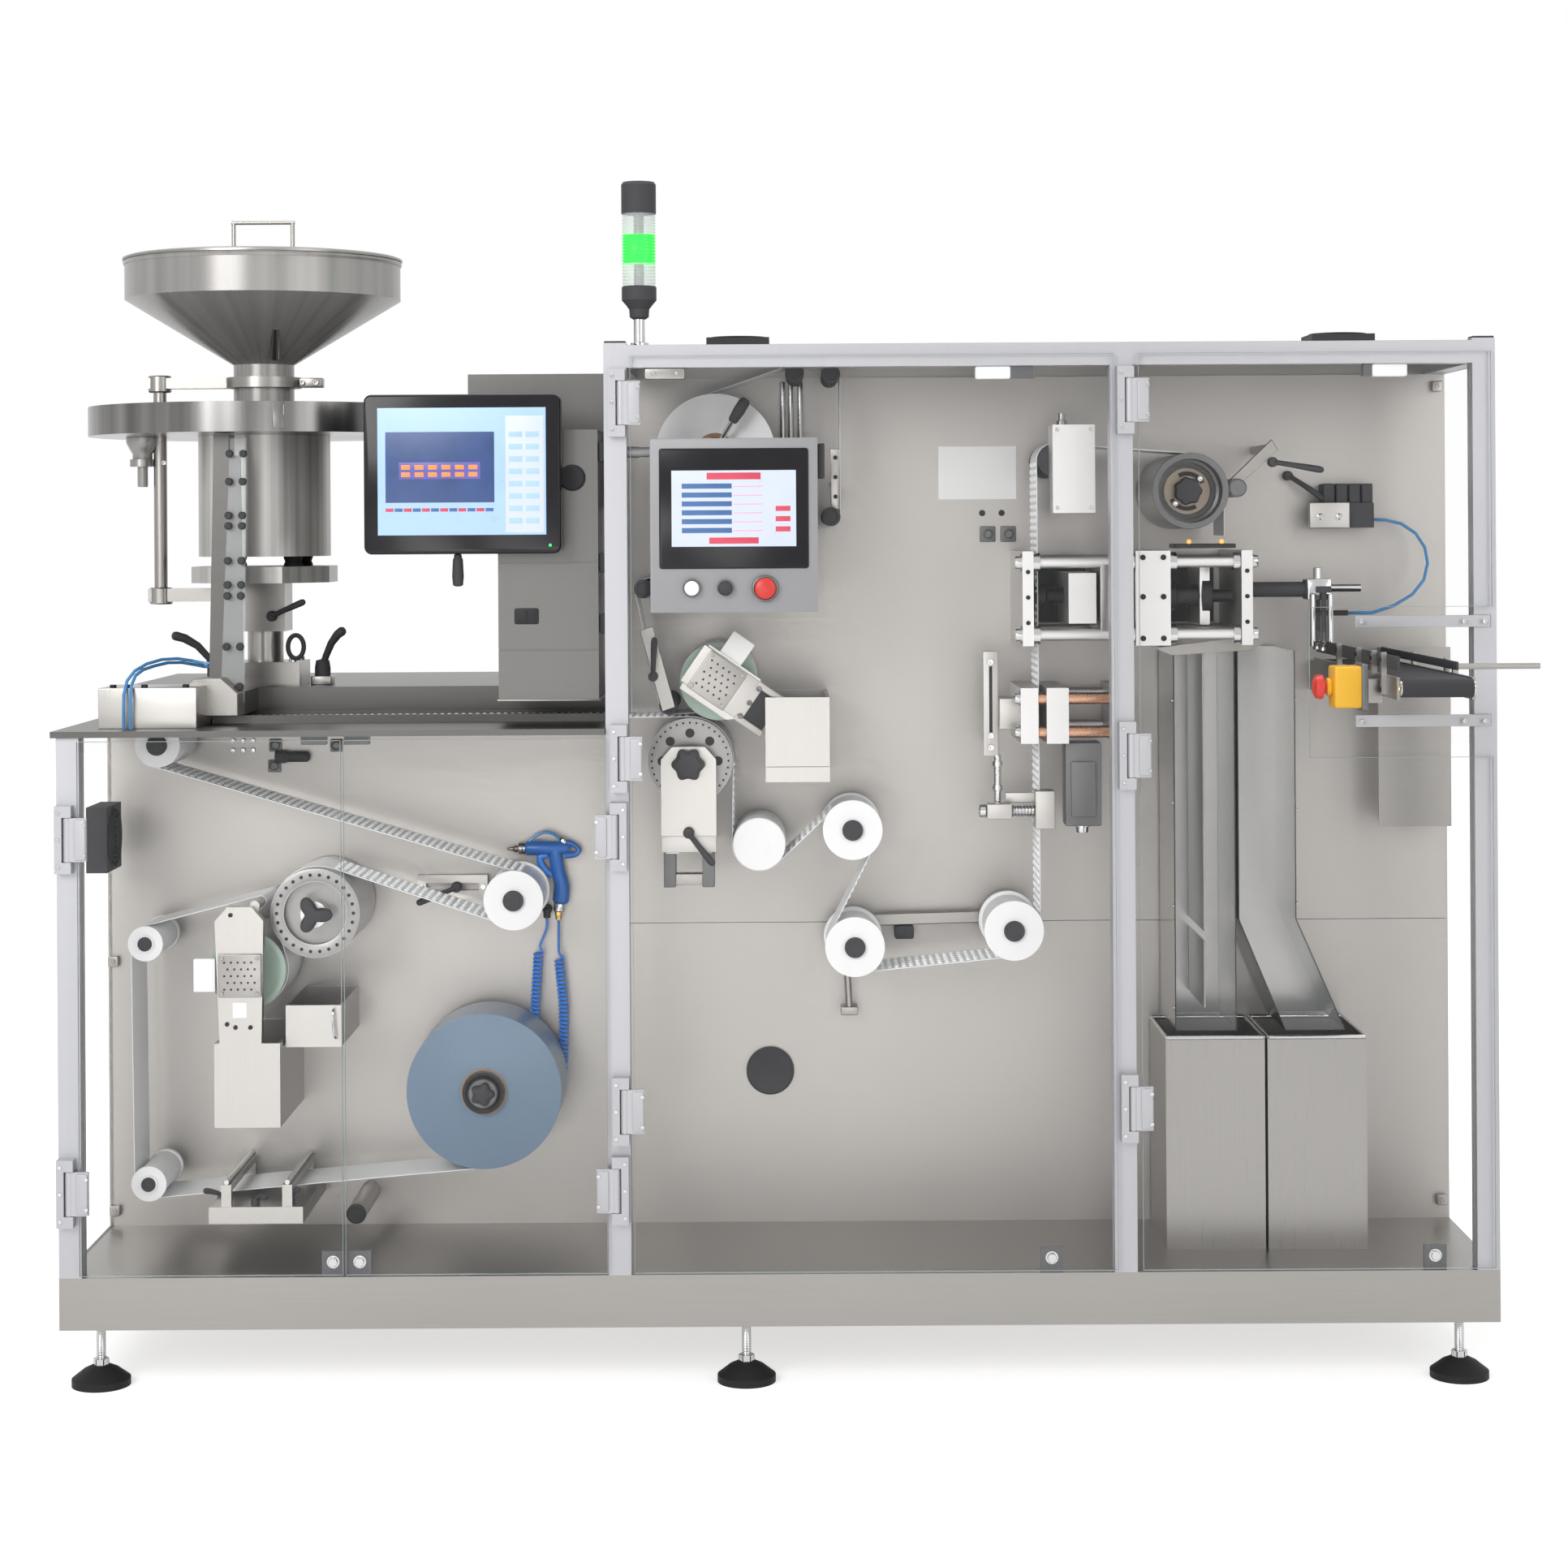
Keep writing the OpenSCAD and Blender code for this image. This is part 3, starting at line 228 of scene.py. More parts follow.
def lobed(profile: Sequence[Flat], lobes: int, depth: float, origin: Point, axis: Axis, n: int = 60) -> Shape:
    """Turns a profile with a wavy radius, r(t) = radius * (1 + depth * cos(lobes * t)), as a star knob has."""
    p = np.asarray(profile, float)
    return spin(p[:, :1] * (1 + depth * np.cos(lobes * angles(n))), p[:, 1], origin, axis)


def hexed(profile: Sequence[tuple[float, float, float]], origin: Point, axis: Axis, n: int = 24) -> Shape:
    """Turns a profile whose rings blend from round to six-sided.

    A ring's radius is radius * (1 - share + share * cos(30) / cos(t mod 60 - 30)).

    Args:
        profile: (radius, height, share of six-sidedness) triples.
        origin: Point of the axis at height nought.
        axis: Direction of the axis.
        n: Points round a ring, a multiple of six.

    Returns:
        The solid.
    """
    p = np.asarray(profile, float)
    six = math.cos(math.pi / 6) / np.cos(np.radians(np.degrees(angles(n)) % 60 - 30))
    return spin(p[:, :1] * (1 - p[:, 2:] + p[:, 2:] * six), p[:, 1], origin, axis)


def socket_screw(origin: Point, axis: Axis, r: float = 5.0, h: float = 5.0) -> Shape:
    """Cap screw with a hexagon socket, standing on origin."""
    return hexed([(r, 0, 0), (r, h * 0.85, 0), (r * 0.88, h, 0), (r * 0.6, h, 1), (r * 0.58, h * 0.4, 1),
                  (r * 0.1, h * 0.36, 1)], origin, axis)


def hex_bolt(origin: Point, axis: Axis, r: float = 8.0, h: float = 6.0) -> Shape:
    """Six-sided bolt head with a chamfered top and a washer, standing on origin."""
    return hexed([(r * 1.25, 0, 0), (r * 1.25, h * 0.2, 0), (r, h * 0.2, 1), (r, h * 0.85, 1), (r * 0.86, h, 0.4),
                  (r * 0.3, h, 0)], origin, axis)


def slab(x: Flat, y: Flat, z: Flat, edge: float = 1.0, corner: float | None = None, axis: Axis = Axis.FRONT,
         n: int = 16) -> Shape:
    """Block with rounded corners and edges: rounded rectangles carried along axis, drawn in by
    edge * (1 - sin a) at a distance edge * (1 - cos a) from each end.

    Args:
        x: Lowest and highest place along the machine.
        y: Foremost and rearmost place.
        z: Lowest and highest place.
        edge: Radius of the edges at both ends.
        corner: Radius of the four corners, or the edge's where not given.
        axis: Direction of carrying.
        n: Points round a section, a multiple of four.

    Returns:
        The block.
    """
    lo, hi = np.array([x[0], y[0], z[0]], float), np.array([x[1], y[1], z[1]], float)
    dirs = np.abs(np.asarray(axis.value, float))
    hu, hv, hw = (dirs @ (hi - lo)) / 2
    a = np.linspace(0, math.pi / 2, 4)
    inset = np.concatenate([edge * (1 - np.sin(a)), edge * (1 - np.sin(a[::-1]))])
    along = np.concatenate([-hw + edge * (1 - np.cos(a)), hw - edge * (1 - np.cos(a[::-1]))])
    c = max(edge if corner is None else corner, 0.05)
    unit = circle(n)
    r = np.maximum(c - inset, 0.05)[:, None, None]
    half = np.array([hu, hv]) - inset[:, None, None]
    flat = np.sign(unit) * (half - r) + r * unit
    return skin(set_on(flat, np.repeat(along[:, None], n, 1), tuple((lo + hi) / 2), axis))


def plate(outline: Sequence[Flat], y: Flat, edge: float = 0.8) -> Shape:
    """Outline in the plane of the mounting plates, carried from front to back with chamfered edges.

    The chamfer moves each corner inwards along its bisector, b / (1 + n1.n2) of the edge normals.

    Args:
        outline: (x, z) corners, anticlockwise.
        y: Front and back of the plate.
        edge: Width of the chamfer.

    Returns:
        The plate.
    """
    p = np.asarray(outline, float)
    d = np.roll(p, -1, 0) - p
    d /= np.linalg.norm(d, axis=1, keepdims=True)
    normal = np.stack([-d[:, 1], d[:, 0]], -1)
    before = np.roll(normal, 1, 0)
    inward = (normal + before) / (1 + np.sum(normal * before, 1, keepdims=True))
    insets, depths = np.array([edge, 0, 0, edge]), np.array([y[0], y[0] + edge, y[1] - edge, y[1]])
    flat = p[None] + insets[:, None, None] * inward[None]
    rings = np.stack([flat[..., 0], np.repeat(depths[:, None], len(p), 1), flat[..., 1]], -1)
    return skin(rings)


def smooth(points: Sequence[Point], per_span: int = 8) -> Array:
    """Curve through points by the Catmull-Rom formula, for all spans at once.

    Args:
        points: Points that the curve passes.
        per_span: Steps in each span.

    Returns:
        Points of the curve.
    """
    p = np.asarray(points, float)
    q = np.concatenate([2 * p[:1] - p[1:2], p, 2 * p[-1:] - p[-2:-1]])
    t = (np.arange(per_span) / per_span)[None, :, None]
    a, b, c, d = (q[i:len(q) - 3 + i][:, None] for i in range(4))
    curve = 0.5 * (2 * b + (c - a) * t + (2 * a - 5 * b + 4 * c - d) * t**2 + (3 * b - a - 3 * c + d) * t**3)
    return np.concatenate([curve.reshape(-1, 3), p[-1:]])


def tube(path: Array, radius: float | Array, n: int = 12, loop: bool = False) -> Shape:
    """Circle carried along a path; its cross directions lean on the path's flattest direction.

    Args:
        path: Points of the middle line.
        radius: Radius, one for all or one for each point.
        n: Points round a section.
        loop: Whether the path is closed.

    Returns:
        The tube.
    """
    path = np.asarray(path, float)
    step = (np.roll(path, -1, 0) - np.roll(path, 1, 0)) if loop else np.gradient(path, axis=0)
    tangent = step / np.linalg.norm(step, axis=1, keepdims=True)
    flattest = np.linalg.svd(path - path.mean(0))[2][2] + 1e-4
    u = np.cross(tangent, flattest)
    u /= np.linalg.norm(u, axis=1, keepdims=True)
    v = np.cross(tangent, u)
    r = np.broadcast_to(np.asarray(radius, float), len(path))[:, None, None]
    c = circle(n)
    rings = path[:, None] + r * (c[None, :, :1] * u[:, None] + c[None, :, 1:] * v[:, None])
    return skin(rings, loop)


def rod(a: Point, b: Point, radius: float, n: int = 16) -> Shape:
    """Straight round bar from a to b with a small chamfer at both ends."""
    a, b = np.asarray(a, float), np.asarray(b, float)
    e = min(0.8, radius * 0.2) / np.linalg.norm(b - a)
    t = np.array([0, e, 1 - e, 1])[:, None]
    w = (b - a) / np.linalg.norm(b - a)
    u = np.cross(w, (0.31, 0.62, 0.72))
    u /= np.linalg.norm(u)
    v = np.cross(w, u)
    r = radius * np.array([0.85, 1, 1, 0.85])[:, None, None]
    c = circle(n)
    return skin((a + t * (b - a))[:, None] + r * (c[:, :1] * u + c[:, 1:] * v)[None])


def lever(hub: Point, tip: Point, axis: Axis, hub_r: float = 9.0, hub_h: float = 20.0, arm_r: float = 5.5) -> Shape:
    """Clamping lever: a turned hub and an arm that thickens to a rounded tip.

    Args:
        hub: Foot of the hub.
        tip: End of the arm.
        axis: Direction in which the hub stands.
        hub_r: Radius of the hub.
        hub_h: Height of the hub.
        arm_r: Radius of the arm at its tip.

    Returns:
        The lever.
    """
    up = np.asarray(axis.value[2], float)
    start = np.asarray(hub, float) + up * hub_h * 0.75
    t = np.array([0, 0.15, 0.4, 0.7, 0.9, 0.97, 1.0])[:, None]
    path = start + t * (np.asarray(tip, float) - start) + up * (hub_h * 0.5) * np.sin(t * math.pi / 2) * (1 - t) * 2
    radii = arm_r * np.array([0.75, 0.72, 0.8, 0.95, 1.0, 0.8, 0.3])
    body = lathe([(hub_r, 0), (hub_r, hub_h * 0.7), (hub_r * 0.85, hub_h), (hub_r * 0.3, hub_h * 1.05)], hub, axis, 24)
    return joined([body, tube(path, radii, 12)])


# Finishes

GRAIN_SCALE: dict[Grain, Point] = {
    Grain.BRUSHED_X: (6, 900, 900), Grain.BRUSHED_Z: (900, 900, 6), Grain.TURNED: (500, 40, 500),
    Grain.MOULDED: (1400, 1400, 1400), Grain.SMOOTH: (25, 25, 25), Grain.FILM: (60, 60, 60), Grain.SPUN_PAINTED_HIGHLIGHTS: (9, 9, 0.4)}


def feed(tree: Tree, taker: bpy.types.Node, inputs: Inputs) -> None:
    """Sets a node's inputs, each to a value or from another node's output."""
    for key, value in inputs.items():
        if isinstance(value, Socket):
            tree.links.new(value, taker.inputs[key])
        else:
            taker.inputs[key].default_value = value


def node(tree: Tree, kind: str, inputs: Inputs | None = None, **options: str) -> bpy.types.Node:
    """Adds a shader node.

    Args:
        tree: Tree of the material or the world.
        kind: Kind of node, without the words that all kinds start with.
        inputs: Value of each input, or the output that feeds it.
        options: Settings of the node.

    Returns:
        The node.
    """
    made = tree.nodes.new(f"ShaderNode{kind}")
    for option, value in options.items():
        setattr(made, option, value)
    feed(tree, made, inputs or {})
    return made


def larger(tree: Tree, a: Socket, b: Socket) -> Socket:
    """Returns the larger of two values."""
    return node(tree, "Math", {0: a, 1: b}, operation="MAXIMUM").outputs[0]


@dataclass(frozen=True)
class Finish:
    """Procedural finish on Object coordinates.

    Attributes:
        name: Name of the material.
        colour: Main colour, linear.
        grain: Surface pattern.
        metal: Metallic share.
        rough: Middle roughness.
        vary: Share by which the colour varies.
        bump: Strength of the relief.
        glow: Strength of emitted light.
        shine: Strength of the clear skin's reflection.
        slot: Material slot of the record that pieces of this finish have by themselves.
    """

    name: str
    colour: Colour
    grain: Grain = Grain.SMOOTH
    metal: float = 0.0
    rough: float = 0.4
    vary: float = 0.06
    bump: float = 0.05
    glow: float = 0.0
    shine: float = 0.5
    slot: str = ""

    def pattern(self, tree: Tree) -> Socket:
        """Adds the grain's noise to a material and returns its value, from nought to one."""
        place = node(tree, "TexCoord").outputs["Object"]
        # The spun grain paints highlight streaks by the direction round the feeder's axis.
        if self.grain is Grain.SPUN_PAINTED_HIGHLIGHTS:
            place = self.bearing(tree, place)
        spread = node(tree, "Mapping", {"Vector": place, "Scale": GRAIN_SCALE[self.grain]})
        noise = node(tree, "TexNoise", {"Vector": spread.outputs["Vector"], "Scale": 1.0, "Detail": 2.0})
        return noise.outputs["Fac"]

    def bearing(self, tree: Tree, place: Socket) -> Socket:
        """Adds nodes that turn a place p into its level direction from the feeder's axis a.

        The direction is (p - a) / |p - a|, without height.

        Args:
            tree: Tree of the material.
            place: Place in the machine's frame.

        Returns:
            The direction.
        """
        axis = tuple(Machine.place((*FEEDER_AXIS, 0)))
        for operation, inputs in (("SUBTRACT", {1: axis}), ("MULTIPLY", {1: (1, 1, 0)}), ("NORMALIZE", {})):
            place = node(tree, "VectorMath", {0: place, **inputs}, operation=operation).outputs["Vector"]
        return place

    def shade(self, tree: Tree) -> None:
        """Wires the colour, roughness, relief and glow into the material."""
        fine = self.pattern(tree)
        where = node(tree, "TexCoord").outputs["Object"]
        cloud = node(tree, "TexNoise", {"Vector": where, "Scale": CLOUD_SCALE, "Detail": 1.0})
        both = node(tree, "Math", {0: fine, 1: cloud.outputs["Fac"]}, operation="ADD")
        share = node(tree, "MapRange", {"Value": both.outputs[0], "From Min": 0.6, "From Max": 1.4})
        low, high = ((*(min(1.0, c * level) for c in self.colour), 1) for level in (1 - self.vary, 1 + self.vary))
        mix = node(tree, "Mix", {"Factor": share.outputs["Result"], "A": low, "B": high}, data_type="RGBA")
        rough = node(tree, "MapRange", {"Value": fine, "To Min": max(0.02, self.rough * 0.8),
                                        "To Max": min(1.0, self.rough * 1.2)})
        relief = node(tree, "Bump", {"Height": fine, "Strength": self.bump, "Distance": RELIEF_M})
        shader = tree.nodes["Principled BSDF"]
        feed(tree, shader, {"Base Color": mix.outputs["Result"], "Roughness": rough.outputs["Result"],
                            "Normal": relief.outputs["Normal"], "Metallic": self.metal,
                            "Specular IOR Level": self.shine})
        if self.glow:
            feed(tree, shader, {"Emission Color": mix.outputs["Result"], "Emission Strength": self.glow})

    def material(self) -> bpy.types.Material:
        """Returns the material, made on first use."""
        known = bpy.data.materials.get(self.name)
        if known:
            return known
        mat = bpy.data.materials.new(self.name)
        mat.use_nodes = True
        self.shade(mat.node_tree)
        return mat


@dataclass(frozen=True)
class ClearSheet(Finish):
    """Clear acrylic: mostly see-through, with a glossy skin that shows at grazing angles."""

    tint: float = 0.05

    def shade(self, tree: Tree) -> None:
        """Wires a slightly clouded see-through skin into the material."""
        haze = node(tree, "MapRange", {"Value": self.pattern(tree), "To Min": self.tint * 0.8,
                                       "To Max": self.tint * 1.2})
        feed(tree, tree.nodes["Principled BSDF"], {
            "Alpha": haze.outputs["Result"], "Base Color": (*self.colour, 1), "Roughness": self.rough,
            "Specular IOR Level": CLEAR_SHINE})


@dataclass(frozen=True)
class PartClear(ClearSheet):
    """Clear acrylic with solid stretches in the same body.

    Attributes:
        solid: Colour of the solid stretches.
        solid_rough: Roughness there.
        solid_metal: Metallic share there.
        zones: Solid stretches as (axis number, middle, half width) in machine millimetres.
    """

    solid: Colour = (0.5, 0.5, 0.525)
    solid_rough: float = 0.4
    solid_metal: float = 0.2
    zones: tuple[tuple[int, float, float], ...] = ()

    def shade(self, tree: Tree) -> None:
        """Wires the clear skin and the solid stretches in it into the material."""
        super().shade(tree)
        split = node(tree, "SeparateXYZ", {"Vector": node(tree, "TexCoord").outputs["Object"]})
        inside = None
        for axis, middle, half in self.zones:
            at = float(Machine.origin[axis] + middle * MM)
            near = node(tree, "Math", {0: split.outputs[axis], 1: at, 2: half * MM}, operation="COMPARE").outputs[0]
            inside = near if inside is None else larger(tree, inside, near)
        shader = tree.nodes["Principled BSDF"]
        haze = shader.inputs["Alpha"].links[0].from_socket
        tint = node(tree, "Mix", {"Factor": inside, "A": (*self.colour, 1), "B": (*self.solid, 1)}, data_type="RGBA")
        rough = node(tree, "MapRange", {"Value": inside, "To Min": self.rough, "To Max": self.solid_rough})
        metal = node(tree, "MapRange", {"Value": inside, "To Min": 0.0, "To Max": self.solid_metal})
        feed(tree, shader, {"Alpha": larger(tree, haze, inside), "Base Color": tint.outputs["Result"],
                            "Roughness": rough.outputs["Result"], "Metallic": metal.outputs["Result"]})


def door_finish(name: str, hinge: float) -> PartClear:
    """Returns a clear door's finish, solid on the hinge leaves in front of the sheet and round the hinge's line."""
    return PartClear(name, (0.95, 0.97, 0.98), Grain.SMOOTH, rough=0.04, tint=0.009,
                     zones=((1, -17.0, 4.95), (0, hinge, 15.5)))


def lit(name: str, colour: Colour, vary: float, glow: float, rough: float = 0.3, slot: str = "black_plastic") -> Finish:
    """Returns the finish of a lit field or lamp."""
    return Finish(name, colour, Grain.SMOOTH, rough=rough, vary=vary, bump=0.0, glow=glow, slot=slot)


STEEL = Finish("brushed_stainless", (0.30, 0.288, 0.273), Grain.BRUSHED_X, 1.0, 0.32, 0.05, 0.12,
               slot="stainless_steel")
STEEL_UP = Finish("brushed_stainless_upright", (0.29, 0.279, 0.265), Grain.BRUSHED_Z, 1.0, 0.30, 0.05, 0.12,
                  slot="stainless_steel")
PLATE = Finish("mounting_plate_steel", (0.37, 0.354, 0.337), Grain.BRUSHED_X, 1.0, 0.42, 0.04, 0.10)
# Spun steel of the hopper and funnel, with painted highlight streaks round the feeder's axis.
SPUN_PAINTED_HIGHLIGHTS = Finish("spun_steel_painted_highlights", (0.30, 0.29, 0.28), Grain.SPUN_PAINTED_HIGHLIGHTS, 0.3, 0.28, 0.24, 0.03, slot="stainless_steel")
# Bowl steel darkened as painted shade from the hopper above, with strong painted highlight streaks round the feeder's
# axis.
BOWL_PAINTED_SHADE_AND_HIGHLIGHTS = Finish("bowl_steel_painted_shade_and_highlights", (0.17, 0.167, 0.163), Grain.SPUN_PAINTED_HIGHLIGHTS, 1.0, 0.24, 0.75, 0.03, slot="stainless_steel")
# Vibrator drum steel lightened as painted light, with painted highlight streaks round the feeder's axis.
DRUM_PAINTED_LIGHT = Finish("drum_steel_painted_light", (0.52, 0.51, 0.49), Grain.SPUN_PAINTED_HIGHLIGHTS, 0.6, 0.36, 0.40, 0.03)
# Lighter copy of the steel: painted light on fronts that reflect the lamps brightly.
STEEL_PAINTED_LIGHT = Finish("steel_painted_light", (0.42, 0.405, 0.385), Grain.BRUSHED_Z, 1.0, 0.34, 0.05, 0.10, slot="stainless_steel")
# Steel of the feeding table and feed chute, darkened as painted shade under the hopper.
BED_PAINTED_SHADE = Finish("bed_steel_painted_shade", (0.100, 0.098, 0.094), Grain.BRUSHED_X, 1.0, 0.34, 0.06, 0.10)
HOOD = Finish("hood_steel", (0.132, 0.129, 0.124), Grain.BRUSHED_Z, 1.0, 0.34, 0.05, 0.10)
MACHINED = Finish("machined_steel", (0.34, 0.333, 0.32), Grain.TURNED, 1.0, 0.30, 0.08, 0.10, slot="machined_steel")
CHROME = Finish("polished_steel", (0.52, 0.52, 0.52), Grain.SMOOTH, 1.0, 0.12, 0.04, 0.02, slot="chrome_steel")
ANODISED = Finish("anodised_profile", (0.43, 0.43, 0.45), Grain.BRUSHED_Z, 0.55, 0.42, 0.03, 0.06)
HINGE = Finish("hinge_cast", (0.46, 0.46, 0.48), Grain.MOULDED, 0.2, 0.45, 0.03, 0.10, slot="stainless_steel")
RUBBER = Finish("black_rubber", (0.015, 0.015, 0.016), Grain.MOULDED, 0.0, 0.62, 0.2, 0.3, shine=0.25,
                slot="rubber_black")
# Black plastic of real parts; the same finish also paints the shade in the punch's recesses.
BLACK = Finish("black_plastic", (0.012, 0.012, 0.013), Grain.MOULDED, 0.0, 0.42, 0.2, 0.25, shine=0.25,
               slot="black_plastic")
GREY_PANEL = Finish("panel_grey", (0.27, 0.27, 0.28), Grain.MOULDED, 0.35, 0.45, 0.05, 0.12, slot="grey_housing")
CATCH = Finish("smoked_catch", (0.10, 0.10, 0.105), Grain.SMOOTH, 0.0, 0.25, 0.1, 0.03)
WHITE = Finish("white_plastic", (0.83, 0.83, 0.83), Grain.SMOOTH, 0.0, 0.40, 0.02, 0.03, slot="white_plastic")
REEL_BLUE = Finish("wound_blue_film", (0.150, 0.220, 0.305), Grain.TURNED, 0.0, 0.30, 0.12, 0.12, slot="blue_film")
FILM = Finish("formed_film", (0.52, 0.53, 0.54), Grain.FILM, 0.0, 0.16, 0.12, 0.35)
FOIL = Finish("lid_foil", (0.88, 0.87, 0.88), Grain.SMOOTH, 0.0, 0.45, 0.03, 0.04)
BLUE = Finish("blue_moulding", (0.008, 0.125, 0.46), Grain.MOULDED, 0.0, 0.32, 0.1, 0.12, slot="blue_plastic")
BELT = Finish("belt_rubber", (0.014, 0.015, 0.016), Grain.MOULDED, 0.0, 0.5, 0.2, 0.2, shine=0.25)
CLEAR = ClearSheet("clear_acrylic", (0.95, 0.97, 0.98), Grain.SMOOTH, rough=0.04, tint=0.009)
# Dark steel of real parts; the same finish also paints the shade in holes and slots.
DARK = Finish("dark_steel_and_hole_shade", (0.018, 0.018, 0.019), Grain.TURNED, 0.2, 0.4, 0.2, 0.1, shine=0.3, slot="black_plastic")
GLOSS_BLACK = Finish("glossy_black", (0.010, 0.010, 0.012), Grain.SMOOTH, 0.0, 0.16, 0.2, 0.02, shine=0.25,
                     slot="black_plastic")
RED = Finish("red_button", (0.62, 0.035, 0.025), Grain.MOULDED, 0.0, 0.35, 0.06, 0.08, slot="white_plastic")
YELLOW = Finish("yellow_case", (0.78, 0.42, 0.02), Grain.MOULDED, 0.0, 0.38, 0.05, 0.1, slot="blue_plastic")
GREEN_COAT = Finish("pale_green_coat", (0.40, 0.52, 0.44), Grain.SMOOTH, 0.0, 0.35, 0.05, 0.04, slot="machined_steel")
GREY_RING = Finish("grey_ring", (0.14, 0.14, 0.143), Grain.TURNED, 0.5, 0.40, 0.1, 0.1, slot="machined_steel")
GREY_DARK = Finish("grey_dish", (0.085, 0.084, 0.082), Grain.TURNED, 0.6, 0.34, 0.2, 0.1, slot="machined_steel")
EDGE = Finish("polished_edge", (0.34, 0.40, 0.40), Grain.SMOOTH, 0.0, 0.15, 0.05, 0.02, slot="clear_sheet")
SATIN = Finish("satin_steel", (0.27, 0.265, 0.257), Grain.TURNED, 0.9, 0.40, 0.1, 0.1, slot="machined_steel")
BRONZE = Finish("bronze_disc", (0.23, 0.19, 0.15), Grain.TURNED, 0.8, 0.35, 0.1, 0.1, slot="machined_steel")
COPPER = Finish("copper_pillar", (0.52, 0.30, 0.20), Grain.TURNED, 1.0, 0.28, 0.08, 0.08, slot="machined_steel")
CARDBOARD = Finish("reel_core", (0.36, 0.22, 0.12), Grain.SMOOTH, 0.0, 0.7, 0.12, 0.2, slot="blue_film")
TUBE_BLUE = Finish("blue_air_tube", (0.06, 0.24, 0.50), Grain.SMOOTH, 0.0, 0.25, 0.06, 0.03, slot="blue_plastic")
COIL_BLUE = Finish("blue_coil_hose", (0.03, 0.22, 0.72), Grain.SMOOTH, 0.0, 0.25, 0.06, 0.03, slot="blue_plastic")
CABLE_WHITE = Finish("white_cable", (0.78, 0.78, 0.78), Grain.SMOOTH, 0.0, 0.4, 0.03, 0.03, slot="clear_sheet")
PAPER = Finish("bare_card", (0.90, 0.90, 0.89), Grain.SMOOTH, 0.0, 0.55, 0.02, 0.04, slot="white_plastic")
BRASS = Finish("brass_fitting", (0.60, 0.42, 0.14), Grain.TURNED, 1.0, 0.28, 0.06, 0.06, slot="machined_steel")
LIT_PAGE = lit("screen_page", (0.52, 0.57, 0.66), 0.02, 0.30)
LIT_SKY = lit("screen_sky", (0.34, 0.50, 0.76), 0.05, 0.30)
LIT_BLUE = lit("screen_blue", (0.045, 0.12, 0.30), 0.08, 0.22)
LIT_NAVY = lit("screen_navy", (0.022, 0.055, 0.17), 0.3, 0.22)
LIT_VIOLET = lit("screen_violet", (0.10, 0.09, 0.34), 0.2, 0.22)
LIT_RED = lit("screen_red", (0.56, 0.05, 0.09), 0.06, 0.22)
LIT_PINK = lit("screen_pink", (0.85, 0.35, 0.50), 0.04, 0.22)
LIT_ORANGE = lit("screen_orange", (0.90, 0.26, 0.06), 0.05, 0.22)
LIT_GREEN = lit("lamp_green", (0.03, 0.75, 0.10), 0.05, 1.2)
LIT_AMBER = lit("lamp_amber", (1.0, 0.30, 0.03), 0.05, 1.6)
LIT_LENS = lit("lens_green_lit", (0.02, 0.85, 0.06), 0.1, 0.9, 0.2, slot="clear_sheet")
POCKET = Finish("film_pockets", (0.93, 0.94, 0.95), Grain.SMOOTH, 0.0, 0.12, 0.04, 0.0, slot="formed_film")
STRIP = ClearSheet("clear_strip", (0.80, 0.83, 0.83), Grain.SMOOTH, rough=0.08, tint=0.2, slot="clear_sheet")
LENS = ClearSheet("clear_lens", (0.80, 0.83, 0.83), Grain.SMOOTH, rough=0.08, tint=0.45, slot="clear_sheet")

CLEAR_FRONT = PartClear("chute_clear_front", (0.90, 0.92, 0.93), Grain.BRUSHED_Z, rough=0.05, tint=0.06,
                        solid=(0.36, 0.352, 0.34), solid_rough=0.22, solid_metal=1.0, zones=((1, 289.0, 110.9),))

